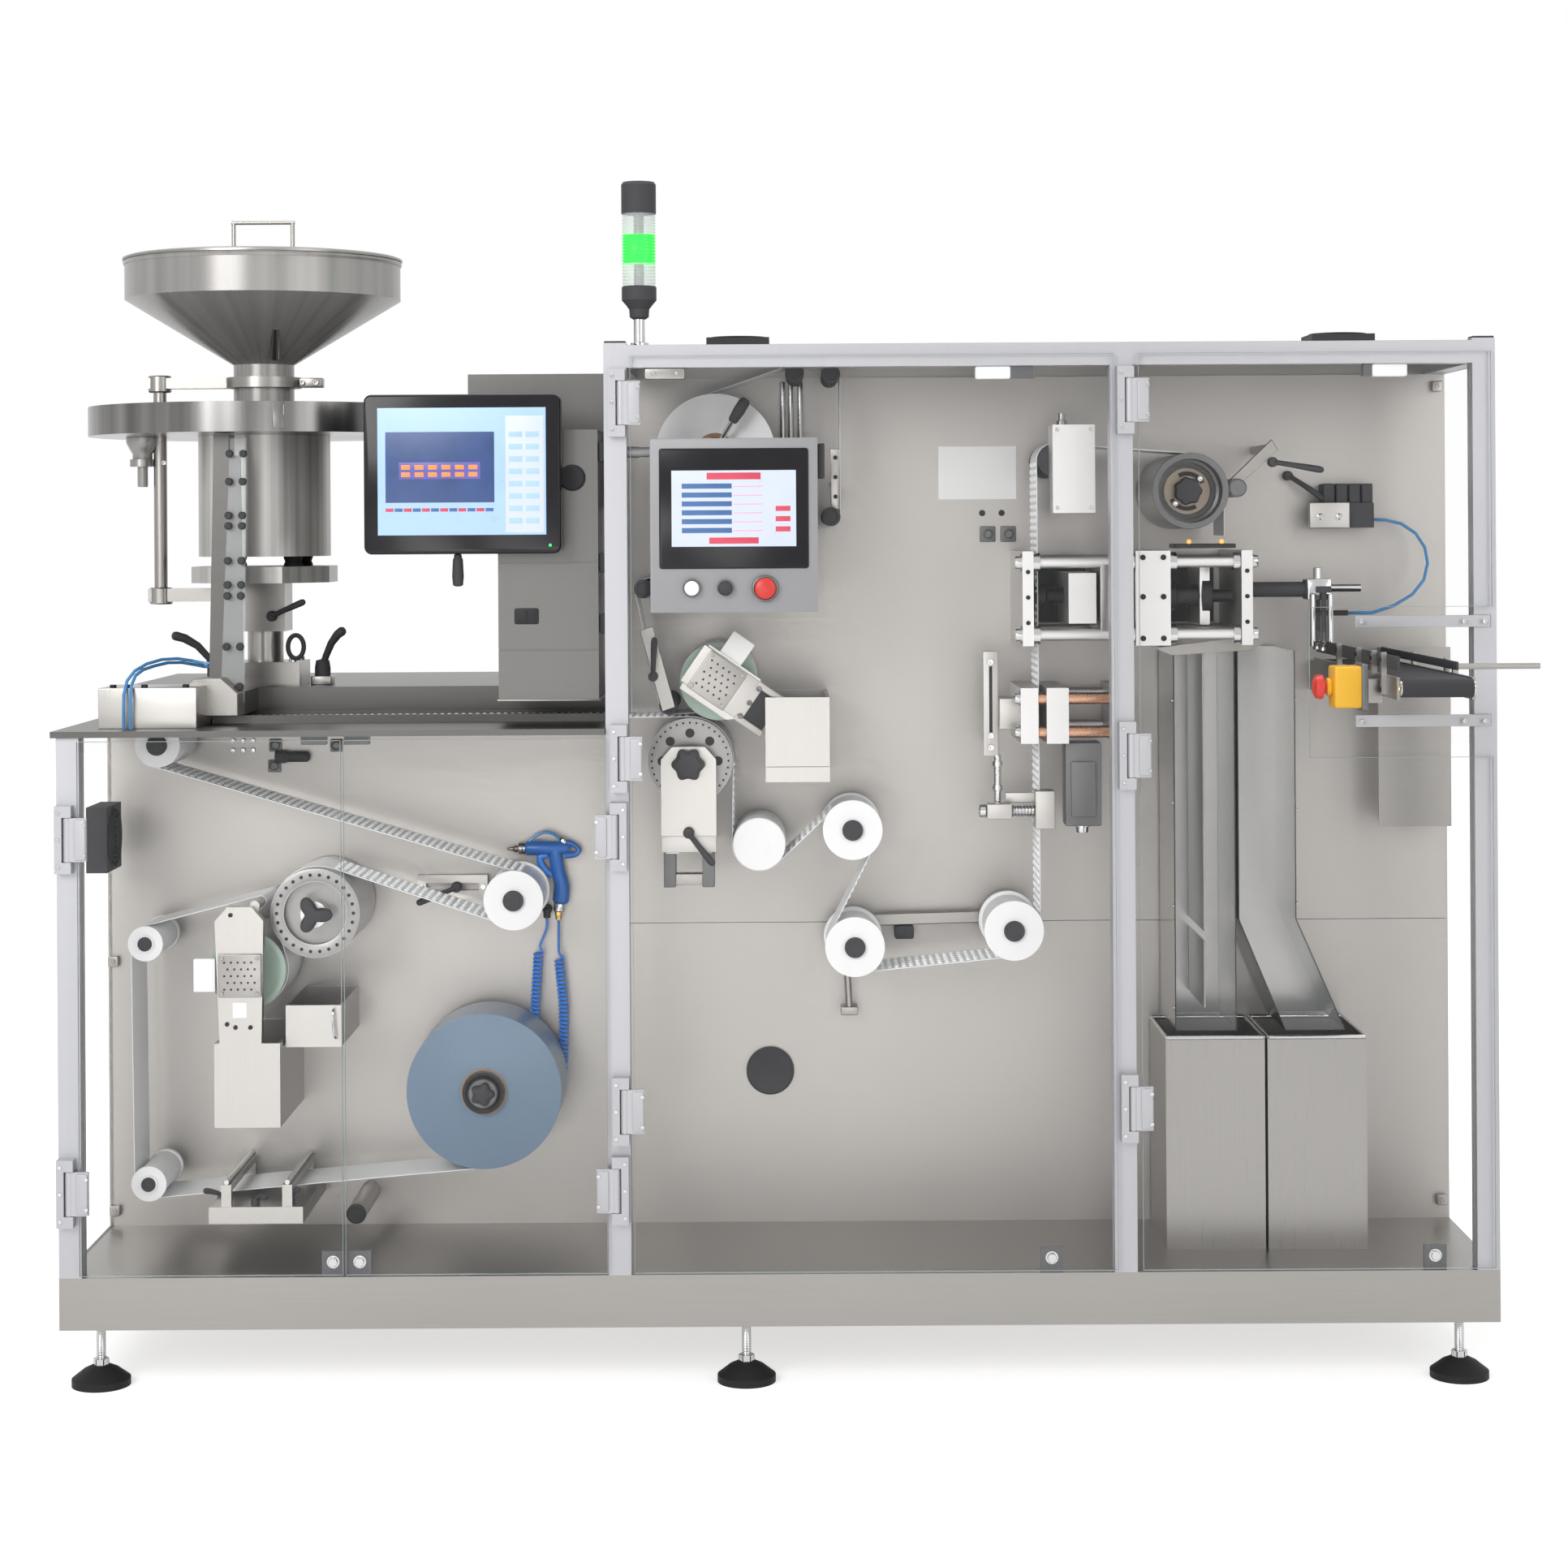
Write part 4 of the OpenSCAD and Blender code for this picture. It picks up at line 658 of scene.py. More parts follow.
# Painted light and shade: the bowl, table and feed chute finishes are darkened as painted shade, the drum's finish and
# the lighter steel copy are lightened as painted light, and the spun finishes paint highlight streaks.
NODE_FINISH: dict[str, Finish] = {
    "base_frame": STEEL, "levelling_feet": RUBBER, "back_plates": PLATE, "rear_housing": STEEL,
    "cover_panels": STEEL_UP, "frame_posts": ANODISED, "top_rails": ANODISED, "cooling_fans": BLACK,
    "clear_guards": CLEAR, "feeding_table": BED_PAINTED_SHADE, "hinge_blocks": HINGE, "door_catches": CATCH,
    "left_door": door_finish("left_door_clear", 23), "table_door": door_finish("table_door_clear", 984),
    "middle_door": door_finish("middle_door_clear", 1000), "right_door": door_finish("right_door_clear", 1894),
    "hopper": SPUN_PAINTED_HIGHLIGHTS, "hopper_lid": STEEL, "feeder_stand": STEEL, "feeder_bowl": BOWL_PAINTED_SHADE_AND_HIGHLIGHTS, "vibrator_drum": DRUM_PAINTED_LIGHT,
    "feed_chute": BED_PAINTED_SHADE, "inspection_hood": HOOD, "monitor": BLACK, "control_panel": GREY_PANEL,
    "stack_light": BLACK, "roller_shafts": CHROME, "film_reel": REEL_BLUE, "forming_drum": MACHINED,
    "heater_roll": MACHINED, "inlet_roller": WHITE, "return_roller": WHITE, "upper_film_roller": WHITE,
    "lower_film_roller": WHITE, "forming_heater": STEEL_PAINTED_LIGHT, "forming_tray": STEEL_PAINTED_LIGHT, "splice_table": STEEL_PAINTED_LIGHT,
    "tension_bar": STEEL_PAINTED_LIGHT, "air_gun": BLUE, "coil_hose": COIL_BLUE, "air_tubes": TUBE_BLUE, "film_web": FILM,
    "lid_foil": FOIL, "foil_reel": FOIL, "foil_guides": BLACK, "sealing_drum": MACHINED, "seal_roll": MACHINED,
    "seal_heater": STEEL_PAINTED_LIGHT, "cooling_roller": WHITE, "exit_roller": WHITE, "dancer_roller": WHITE,
    "lift_roller": WHITE, "punch_station": MACHINED, "index_roller": MACHINED, "suction_arm": BLACK,
    "waste_bins": STEEL_UP, "waste_chute_left": CLEAR_FRONT, "waste_chute_right": CLEAR_FRONT,
    "outfeed_conveyor": STEEL, "conveyor_belt": BELT,
}


class Machine:
    """Machine millimetres in the frame.

    x runs from the base's left end, y from the posts' front to the back, and z from the floor.
    """

    origin: Array = np.array([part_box("base_frame")[0].x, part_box("frame_posts")[0].y, 0.0])

    @classmethod
    def place(cls, point: Point) -> Array:
        """Returns a point of the machine in the frame, in metres."""
        return cls.origin + np.asarray(point, float) * MM


def piece(name: str, shape: Shape | Sequence[Shape], finish: Finish, body: str = "root",
          slot: str = "") -> bpy.types.Object:
    """Puts a shape into the scene as a piece that rides on a body.

    Args:
        name: Name of the piece.
        shape: Its surface in machine millimetres, or several that make one piece.
        finish: Its finish.
        body: Body that it rides on.
        slot: Material slot of the record, or the finish's own where not given; not used.

    Returns:
        The piece's object.
    """
    if not isinstance(shape, Shape):
        shape = joined(shape)
    slot = slot or finish.slot
    mesh = bpy.data.meshes.new(name)
    mesh.from_pydata((Machine.origin + shape.verts * MM).tolist(), [], shape.faces)
    work = bmesh.new()
    work.from_mesh(mesh)
    bmesh.ops.recalc_face_normals(work, faces=work.faces)
    work.to_mesh(mesh)
    work.free()
    mesh.shade_smooth()
    mesh.set_sharp_from_angle(angle=math.radians(SHARP_DEG))
    mesh.materials.append(finish.material())
    thing = bpy.data.objects.new(name, mesh)
    bpy.context.scene.collection.objects.link(thing)
    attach(thing, body)
    LOG.info("piece %s: %d points on %s", name, len(shape.verts), body)
    return thing


@dataclass
class Stage:
    """Camera at the photographed angle, soft studio light and a pale floor.

    Attributes:
        camera_at: Place of the camera in metres.
        lens_mm: Length of its lens.
        shift: Shift of the picture across and up.
        roll_deg: Lean of the camera.
        floor_size: Side of the floor.
        floor_grey: Colour of the floor.
        floor_lift: Light that the floor adds near the machine and away from it, for seen rays.
        lift_reach: Distances between which that light rises.
        surround: Strength of the surround as a light and as it is seen.
        lamps: Name, place, point that it faces, size of its face and watts of each lamp.
    """

    camera_at: Point = (0.021, -5.494, 1.520)
    lens_mm: float = 68.41
    shift: Flat = (0.0031, -0.1633)
    roll_deg: float = 0.35
    floor_size: float = 30.0
    floor_grey: float = 0.86
    floor_lift: Flat = (0.56, 0.68)
    lift_reach: Flat = (1.3, 3.0)
    surround: Flat = (0.45, 1.0)
    lamps: tuple[tuple[str, Point, Point, Flat, float], ...] = (
        ("key", (-2.7, -4.8, 3.1), (0, 0, 1.0), (2.4, 2.4), 148),
        ("fill", (3.2, -4.0, 2.6), (0, 0, 1.0), (2.5, 3.5), 48),
        ("top", (0.0, 0.2, 4.8), (0, 0, 1.0), (4.0, 2.5), 90),
        ("front", (0.2, -6.2, 0.9), (0.1, 0, 1.1), (1.2, 1.2), 14),
        ("low", (-1.4, -6.0, 0.5), (-0.6, 0, 0.8), (1.0, 0.8), 12))

    def camera(self) -> None:
        """Adds the camera, level and square to the machine's front."""
        data = bpy.data.cameras.new("camera")
        data.sensor_fit = "HORIZONTAL"
        data.sensor_width = 36.0
        data.lens = self.lens_mm
        data.shift_x, data.shift_y = self.shift
        data.clip_end = 100.0
        thing = bpy.data.objects.new("camera", data)
        thing.location = self.camera_at
        thing.rotation_euler = (math.pi / 2, math.radians(self.roll_deg), 0)
        bpy.context.scene.collection.objects.link(thing)
        bpy.context.scene.camera = thing

    def lamp(self, name: str, at: Point, aim: Point, size: Flat, watts: float) -> None:
        """Adds one large soft lamp.

        Args:
            name: Name of the lamp.
            at: Its place in metres.
            aim: Point that it faces.
            size: Width and height of its face.
            watts: Its power.
        """
        data = bpy.data.lights.new(name, "AREA")
        data.shape = "RECTANGLE"
        data.size, data.size_y = size
        data.energy = watts
        thing = bpy.data.objects.new(name, data)
        thing.location = at
        way = Vector(aim) - Vector(at)
        thing.rotation_euler = way.to_track_quat("-Z", "Y").to_euler()
        bpy.context.scene.collection.objects.link(thing)

    def seen(self, tree: Tree) -> Socket:
        """Returns one for rays from the camera, from gloss or through glass, and nought for others."""
        rays = node(tree, "LightPath").outputs
        return larger(tree, larger(tree, rays["Is Camera Ray"], rays["Is Glossy Ray"]), rays["Is Transmission Ray"])

    def world(self) -> None:
        """Sets a white surround for seen rays and a gentle fill for light."""
        world = bpy.data.worlds.new("studio")
        bpy.context.scene.world = world
        world.use_nodes = True
        tree = world.node_tree
        low, high = self.surround
        level = node(tree, "MapRange", {"Value": self.seen(tree), "To Min": low, "To Max": high})
        feed(tree, tree.nodes["Background"], {"Color": (1, 1, 1, 1), "Strength": level.outputs["Result"]})

    def floor_material(self) -> bpy.types.Material:
        """Returns a white matte that lifts itself to the surround's white away from the machine."""
        mat = bpy.data.materials.new("floor_white")
        mat.use_nodes = True
        tree = mat.node_tree
        tree.nodes.remove(tree.nodes["Principled BSDF"])
        matte = node(tree, "BsdfDiffuse", {"Color": (*[self.floor_grey] * 3, 1)})
        far = node(tree, "VectorMath", {0: node(tree, "TexCoord").outputs["Object"]}, operation="LENGTH")
        (near, away), (low, high) = self.lift_reach, self.floor_lift
        open_floor = node(tree, "MapRange", {"Value": far.outputs["Value"], "From Min": near, "From Max": away,
                                             "To Min": low, "To Max": high})
        level = node(tree, "Math", {0: self.seen(tree), 1: open_floor.outputs["Result"]}, operation="MULTIPLY")
        lift = node(tree, "Emission", {"Strength": level.outputs[0]})
        both = node(tree, "AddShader", {0: matte.outputs[0], 1: lift.outputs[0]})
        feed(tree, tree.nodes["Material Output"], {"Surface": both.outputs[0]})
        return mat

    def floor(self) -> None:
        """Lays a white floor that keeps the machine's shadow."""
        half = self.floor_size / 2
        mesh = bpy.data.meshes.new("floor")
        mesh.from_pydata([(-half, -half, 0), (half, -half, 0), (half, half, 0), (-half, half, 0)], [], [(0, 1, 2, 3)])
        mesh.materials.append(self.floor_material())
        thing = bpy.data.objects.new("floor", mesh)
        bpy.context.scene.collection.objects.link(thing)

    def build(self) -> None:
        """Sets the view, the lights and the floor."""
        bpy.context.scene.view_settings.view_transform = "Standard"
        self.camera()
        self.world()
        self.floor()
        for lamp in self.lamps:
            self.lamp(*lamp)


@dataclass
class Rollers:
    """Hub caps of the white guide rollers and the faces of the drums and reels."""

    guide_front: float = 191.0
    guides: dict[str, Flat] = field(default_factory=lambda: {
        "return_roller": (787, 841), "inlet_roller": (138, 1129), "upper_film_roller": (114, 766),
        "lower_film_roller": (118, 327), "exit_roller": (1408, 966), "dancer_roller": (1411, 752),
        "lift_roller": (1702, 780)})
    hub_r: float = 19.0

    def hub_cap(self, at: Flat, r: float, y: float) -> Shape:
        """Turned cap with fine steps: rings from the rim to the middle."""
        steps = [(r, 0), (r, 2.5), (r * 0.93, 4), (r * 0.8, 4), (r * 0.78, 3.2), (r * 0.62, 3.2), (r * 0.6, 4),
                 (r * 0.42, 4), (r * 0.4, 3.2), (r * 0.22, 3.2), (r * 0.2, 4), (r * 0.05, 4)]
        return lathe(steps, (at[0], y, at[1]), Axis.FRONT, 40)

    def face_hole_shade(self, at: Flat, ring_r: float, count: int, hole_r: float, y: float) -> Shape:
        """Dark discs in a ring on a drum's face, at equal angles: painted shade in the holes."""
        t = np.arange(count) * TAU / count
        places = np.stack([at[0] + ring_r * np.cos(t), np.full(count, y), at[1] + ring_r * np.sin(t)], -1)
        dot = lathe([(hole_r, 0), (hole_r, 0.5), (hole_r * 0.8, 0.3), (hole_r * 0.1, 0.25)], (0, 0, 0), Axis.FRONT, 16)
        return dot.repeated([tuple(p) for p in places])

    def forming_drum(self) -> None:
        """Dark dots of painted shade in a ring of rim holes, and a three-armed knob on the forming drum."""
        at, y = (427.0, 822.0), 180.0
        body = "forming_drum_body"
        piece("forming_drum_hole_shade", self.face_hole_shade(at, 70, 26, 3.2, y - 0.7), DARK, body)
        rim = ring([(80.6, -0.5), (80.6, 0.3), (79.6, 0.7), (59.4, 0.7), (58.6, 0.3), (58.6, -0.5)], (at[0], y, at[1]))
        piece("forming_drum_face", rim, SATIN, body)
        dish = ring([(57.9, -19.9), (57.9, 0.2), (57.0, 0.2), (57.0, -19.0), (24.2, -19.0), (24.2, -19.9)],
                    (at[0], y, at[1]))
        piece("forming_drum_dish", dish, SATIN, body)
        knob = lobed([(14, 17), (23, 18), (25, 24), (24, 32), (18, 36), (4, 37)], 3, 0.42, (at[0], y, at[1]),
                     Axis.FRONT)
        piece("forming_drum_knob", knob, BLACK, body)

    def heater_roll(self) -> None:
        """Pale green coated rim and steel face of the forming heater's roll."""
        at = (300.0, 717.0)
        sleeve = lathe([(58, 0), (70.6, 0), (71.4, 1.5), (71.4, 3), (69, 4.2), (60, 4.2), (58, 3)],
                       (at[0], 195.2, at[1]), Axis.FRONT, 72)
        piece("heater_roll_rim", sleeve, GREEN_COAT, "heater_roll_body")
        piece("heater_roll_cap", self.hub_cap(at, 30, 191), MACHINED, "heater_roll_body")

    def film_reel(self) -> None:
        """Brown core, dark chuck and windings on the face of the film reel."""
        at, y, body = (730.0, 490.0), 207.0, "film_reel_body"
        core = ring([(38.2, -1), (42, -1), (42, 1.2), (41, 1.6), (39, 1.6), (38.2, 1.0)], (at[0], y, at[1]))
        piece("film_reel_core", core, CARDBOARD, body)
        chuck = lathe([(38, 13.6), (38.2, 15), (33, 15.4), (32, 14.8), (27, 14.8), (26.6, 14.6)], (at[0], y, at[1]),
                      Axis.FRONT, 48)
        piece("film_reel_chuck", chuck, DARK, body)
        collar = lathe([(27, 14.2), (27, 22), (25, 24), (10, 24)], (at[0], y, at[1]), Axis.FRONT, 48)
        piece("film_reel_collar", collar, GREY_RING, body)
        knob = lobed([(14, 23), (18, 25), (20, 29), (18, 37), (12, 41), (2, 42)], 5, 0.14, (at[0], y, at[1]),
                     Axis.FRONT)
        piece("film_reel_knob", knob, BLACK, body)
        r = np.linspace(44, 140, 34)
        ridge = np.stack([np.repeat(r, 2), np.tile([0.15, 0.5], 34)], -1)
        face = np.concatenate([ridge, [[141.6, 0.2], [141.9, -2]]])
        piece("film_reel_face", lathe(face[::-1].tolist(), (at[0], y, at[1]), Axis.FRONT, 96), REEL_BLUE, body)

    def foil_reel(self) -> None:
        """Core and clamping lever on the face of the lid foil reel."""
        at, y, body = (1161.0, 1656.0), 211.0, "foil_reel_body"
        core = ring([(30.2, -1), (38, -1), (38, 0.8), (30.2, 0.8)], (at[0], y, at[1]))
        piece("foil_reel_core", core, CARDBOARD, body, slot="paper_foil")
        chuck = lathe([(30, 9.6), (30, 12), (26, 14), (8, 14), (6, 18), (2, 18)], (at[0], y, at[1]), Axis.FRONT, 40)
        piece("foil_reel_chuck", chuck, DARK, body)
        arm = rod((1172, 189, 1680), (1194, 176, 1716), 4.5)
        grip = lathe([(6, 0), (9, 4), (11, 24), (10.5, 44), (7, 50), (2, 51)], (0, 0, 0), Axis.Z, 24)
        grip = grip.turned(32, (0, 0, 0), (0, 1, 0)).moved((1192, 176, 1712))
        piece("foil_lever_arm", arm, CHROME, body)
        piece("foil_lever_grip", grip, BLACK, body)

    def sealing_drum(self) -> None:
        """Painted shade in eight large holes and in fine rim holes, and a bright face on the sealing drum."""
        at, y, body = (1112.0, 1095.0), 185.0, "sealing_drum_body"
        rim = lathe([(77.2, 0), (77.2, 0.5), (75, 0.9), (30, 0.9), (28, 0.4)], (at[0], y, at[1]), Axis.FRONT, 64)
        piece("sealing_drum_face", rim, SATIN, body)
        piece("sealing_drum_hole_shade", self.face_hole_shade(at, 51, 8, 8.5, y - 0.9), DARK, body)
        piece("sealing_drum_rim_hole_shade", self.face_hole_shade(at, 70, 36, 2.0, y - 0.9), DARK, body)

    def index_roller(self) -> None:
        """Grey ring, brown disc with two screws and a star knob on the index roller."""
        at, y, body = (2023.0, 1582.0), 150.0, "index_roller_body"
        here = (at[0], y, at[1])
        rim = ring([(69.2, -2), (69.2, 0.3), (68.6, 0.8), (59.8, 0.8), (59.2, 0.3), (59.2, -2)], here)
        piece("index_roller_ring", rim, GREY_RING, body)
        dish = ring([(58.9, -56.8), (58.9, 0.2), (58.2, 0.2), (57.4, -38), (52, -40), (52, -56), (43.3, -56),
                     (43.3, -56.8)], here)
        piece("index_roller_dish", dish, GREY_DARK, body)
        disc = lathe([(42.9, -50.2), (42.9, -49.2), (42, -48.6), (12, -48.6)], here, Axis.FRONT, 56)
        piece("index_roller_disc", disc, BRONZE, body)
        # Dark arcs: painted shade in the disc's two slots.
        slots = [arc_slot(at, 32, 8, span, (198.2, 199.2)) for span in ((27, 118), (207, 300))]
        piece("index_roller_slot_shade", slots, DARK, body)
        knob = lobed([(12, -48), (20, -47), (24, -42), (24.5, -32), (22, -27), (4, -26)], 7, 0.07, here, Axis.FRONT)
        piece("index_roller_knob", knob, BLACK, body)
        screws = [socket_screw((at[0] + dx, 198.6, at[1] + dz), Axis.FRONT, 5.5, 7)
                  for dx, dz in ((23.5, 22.5), (-22, -23))]
        piece("index_roller_screws", screws, CHROME, body)

    def build(self) -> None:
        """Adds the caps and faces of every roller."""
        for name, at in self.guides.items():
            r = 13.0 if "film_roller" in name else self.hub_r
            piece(f"{name}_cap", self.hub_cap(at, r, self.guide_front), BLACK, f"{name}_body")
        cool = lathe([(40, 3), (47.6, 3), (48.2, 3.6), (47, 5), (8, 5.2)], (1237, 198, 941), Axis.FRONT, 56)
        piece("cooling_roller_face", cool, WHITE, "cooling_roller_body")
        self.forming_drum()
        self.heater_roll()
        self.film_reel()
        self.foil_reel()
        self.sealing_drum()
        self.index_roller()


def lit_field(name: str, x: Flat, y: Flat, z: Flat, finish: Finish) -> None:
    """Adds one flat field of a screen's picture."""
    piece(name, slab(x, y, z, 0.15), finish)


@dataclass
class ControlPanel:
    """Black screen bezel, generic screen picture and three buttons of the control panel."""

    front: float = -8.0
    bezel_x: Flat = (1066, 1329)
    bezel_z: Flat = (1448, 1660)
    screen_x: Flat = (1088, 1307)
    screen_z: Flat = (1487, 1621)

    def picture(self) -> None:
        """Pale page with a red heading, six blue bars with pink lines and red keys."""
        y = self.front - 4.2
        x0, x1 = self.screen_x
        z0, z1 = self.screen_z
        lit_field("panel_page", (x0, x1), (y - 0.3, y), (z0, z1), LIT_PAGE)
        lit_field("panel_heading", (x0 + 62, x1 - 62), (y - 0.6, y), (z1 - 16, z1 - 4), LIT_RED)
        lit_field("panel_keys", (x0 + 66, x1 - 66), (y - 0.6, y), (z0 + 5, z0 + 16), LIT_RED)
        bars = [slab((x0 + 18, x0 + 106), (y - 0.6, y), (z, z + 9), 0.15) for z in np.linspace(z1 - 32, z0 + 24, 6)]
        piece("panel_bars", bars, LIT_BLUE)
        lines = [slab((x0 + 108, x0 + 160), (y - 0.6, y), (z + 3, z + 4.6), 0.15)
                 for z in np.linspace(z1 - 32, z0 + 24, 6)]
        piece("panel_lines", lines, LIT_PINK)
        keys = [slab((x1 - 36, x1 - 10), (y - 0.6, y), (z, z + 9), 0.15) for z in (z0 + 26, z0 + 44, z0 + 62)]
        piece("panel_side_keys", keys, LIT_RED)

    def button(self, name: str, at: Flat, r: float, finish: Finish) -> None:
        """Adds a domed push button in a dark bezel ring.

        Args:
            name: Name of the button.
            at: Its place, x and z.
            r: Radius of its cap.
            finish: Finish of its cap.
        """
        y = self.front - 12
        bezel = lathe([(r * 1.2, -12), (r * 1.25, -3), (r * 1.2, 0.5), (r * 1.06, 1.5), (r * 1.02, 0)],
                      (at[0], y, at[1]), Axis.FRONT, 40)
        piece(f"{name}_ring", bezel, GREY_RING, slot="black_plastic")
        a = np.linspace(0, 1.45, 9)
        dome = [(r, -1)] + [(r * math.cos(t), 1 + r * 0.28 * math.sin(t)) for t in a]
        piece(f"{name}_cap", lathe(dome, (at[0], y, at[1]), Axis.FRONT, 40), finish, slot="white_plastic")

    def build(self) -> None:
        """Adds the panel's pieces."""
        y = self.front
        piece("panel_case", slab((1050, 1345), (y - 0.4, 20), (1371, 1678), 2.0, 6, n=32), GREY_PANEL)
        piece("panel_bezel", slab(self.bezel_x, (y - 4, y + 2), self.bezel_z, 1.6, 5, n=32), GLOSS_BLACK)
        self.picture()
        self.button("start_button", (1123, 1414), 13, WHITE)
        self.button("reset_button", (1182, 1414), 12, BLACK)
        self.button("stop_button", (1252, 1413), 19, RED)
        piece("panel_arm_knob", lathe([(9, 0), (10, 3), (10, 20), (8, 22), (2, 22)], (1030, 34, 1655), Axis.LEFT, 24),
              BLACK)
        piece("panel_strip", slab((1346, 1358), (10, 40), (1606, 1668), 1.5), BLACK)


@dataclass
class Monitor:
    """Flat screen of the inspection camera, with a generic picture and its stay."""

    x: Flat = (537, 888)
    z: Flat = (1476, 1761)
    y: float = 60.0

    def build(self) -> None:
        """Adds the case, screen, lamp, grip and flange."""
        case = slab(self.x, (self.y - 0.5, self.y + 44), self.z, 4, 14, n=48)
        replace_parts(piece("monitor_case", [case, rod((844, 103, 1612), (844, 131, 1612), 18, 32)], GLOSS_BLACK),
                    "monitor")
        y = self.y - 0.5
        lit_field("monitor_page", (562, 862), (y - 0.3, y + 0.2), (1510, 1737), LIT_SKY)
        lit_field("monitor_side", (790, 858), (y - 0.5, y + 0.2), (1514, 1722), LIT_PAGE)
        lit_field("monitor_view", (576, 770), (y - 0.6, y + 0.2), (1568, 1694), LIT_NAVY)
        lit_field("monitor_band", (600, 745), (y - 0.8, y + 0.2), (1610, 1640), LIT_VIOLET)
        rows = [slab((604 + 24 * i, 620 + 24 * i), (y - 1.0, y), (1614 + 13 * j, 1622 + 13 * j), 0.15) for i in range(6)
                for j in range(2)]
        piece("monitor_tablets", rows, LIT_ORANGE)
        strip = [slab((576 + 16.2 * i, 590 + 16.2 * i), (y - 0.8, y), (1552, 1558), 0.15) for i in range(12)]
        piece("monitor_strip", strip[::2], LIT_RED)
        piece("monitor_strip_blue", strip[1::2], LIT_BLUE)
        fields = [slab((796 + 30 * i, 820 + 30 * i), (y - 0.8, y), (1530 + 22 * j, 1540 + 22 * j), 0.15)
                  for i in range(2) for j in range(8)]
        piece("monitor_fields", fields, LIT_SKY)
        piece("monitor_lamp", lathe([(2.6, 0), (2.6, 0.6), (0.4, 1.2)], (869, y, 1491), Axis.FRONT, 16), LIT_GREEN)
        grip = lathe([(5, 0), (7, 2), (7, 6), (9, 10), (10.5, 40), (9, 56), (4, 58)], (702, 80, 1476), Axis.DOWN, 24)
        piece("monitor_grip", grip, BLACK)
        piece("monitor_flange", lathe([(24, 0), (24, 3), (20, 6), (10, 6)], (904, 130, 1612), Axis.FRONT, 32), BLACK)


@dataclass
class StackLight:
    """Signal light: pole, ribbed clear and green segments and a black cap."""

    at: Flat = (1030, 60)
    r: float = 31.0

    def segment(self, z: Flat, ribs: int) -> Shape:
        """Ribbed lens: radius r - 1.4 + 0.7 * cos(tau * ribs * t), for the share t of its height."""
        h = np.linspace(z[0], z[1], ribs * 6)
        r = self.r - 1.4 + 0.7 * np.cos((h - z[0]) / (z[1] - z[0]) * ribs * TAU)
        return lathe(np.stack([r, h], -1).tolist(), (*self.at, 0), Axis.Z, 40)

    def build(self) -> None:
        """Adds the segments in place of the plain column."""
        r = self.r
        pole = lathe([(16, 1846), (16, 1850), (10, 1852), (10, 1900), (6, 1900)], (*self.at, 0), Axis.Z, 32)
        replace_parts(piece("light_pole", pole, CHROME), "stack_light")
        foot = lathe([(11, 1892), (17, 1896), (18, 1910), (24, 1918), (r, 1926), (r, 1949), (r - 2, 1951), (8, 1951)],
                     (*self.at, 0), Axis.Z, 40)
        piece("light_foot", foot, BLACK)
        piece("light_clear_low", self.segment((1951, 1991), 7), LENS)
        piece("light_green", self.segment((1991, 2042), 9), LIT_LENS)
        piece("light_clear_high", self.segment((2042, 2080), 7), LENS)
        cap = lathe([(8, 2080), (r, 2080), (r, 2132), (r - 3, 2136.5), (6, 2137)], (*self.at, 0), Axis.Z, 40)
        piece("light_cap", cap, BLACK)
        core = lathe([(9, 1951), (9, 1990), (7, 1991), (7, 2042), (9, 2043), (9, 2080)], (*self.at, 0), Axis.Z, 24)
        piece("light_core", core, GREY_RING, slot="black_plastic")


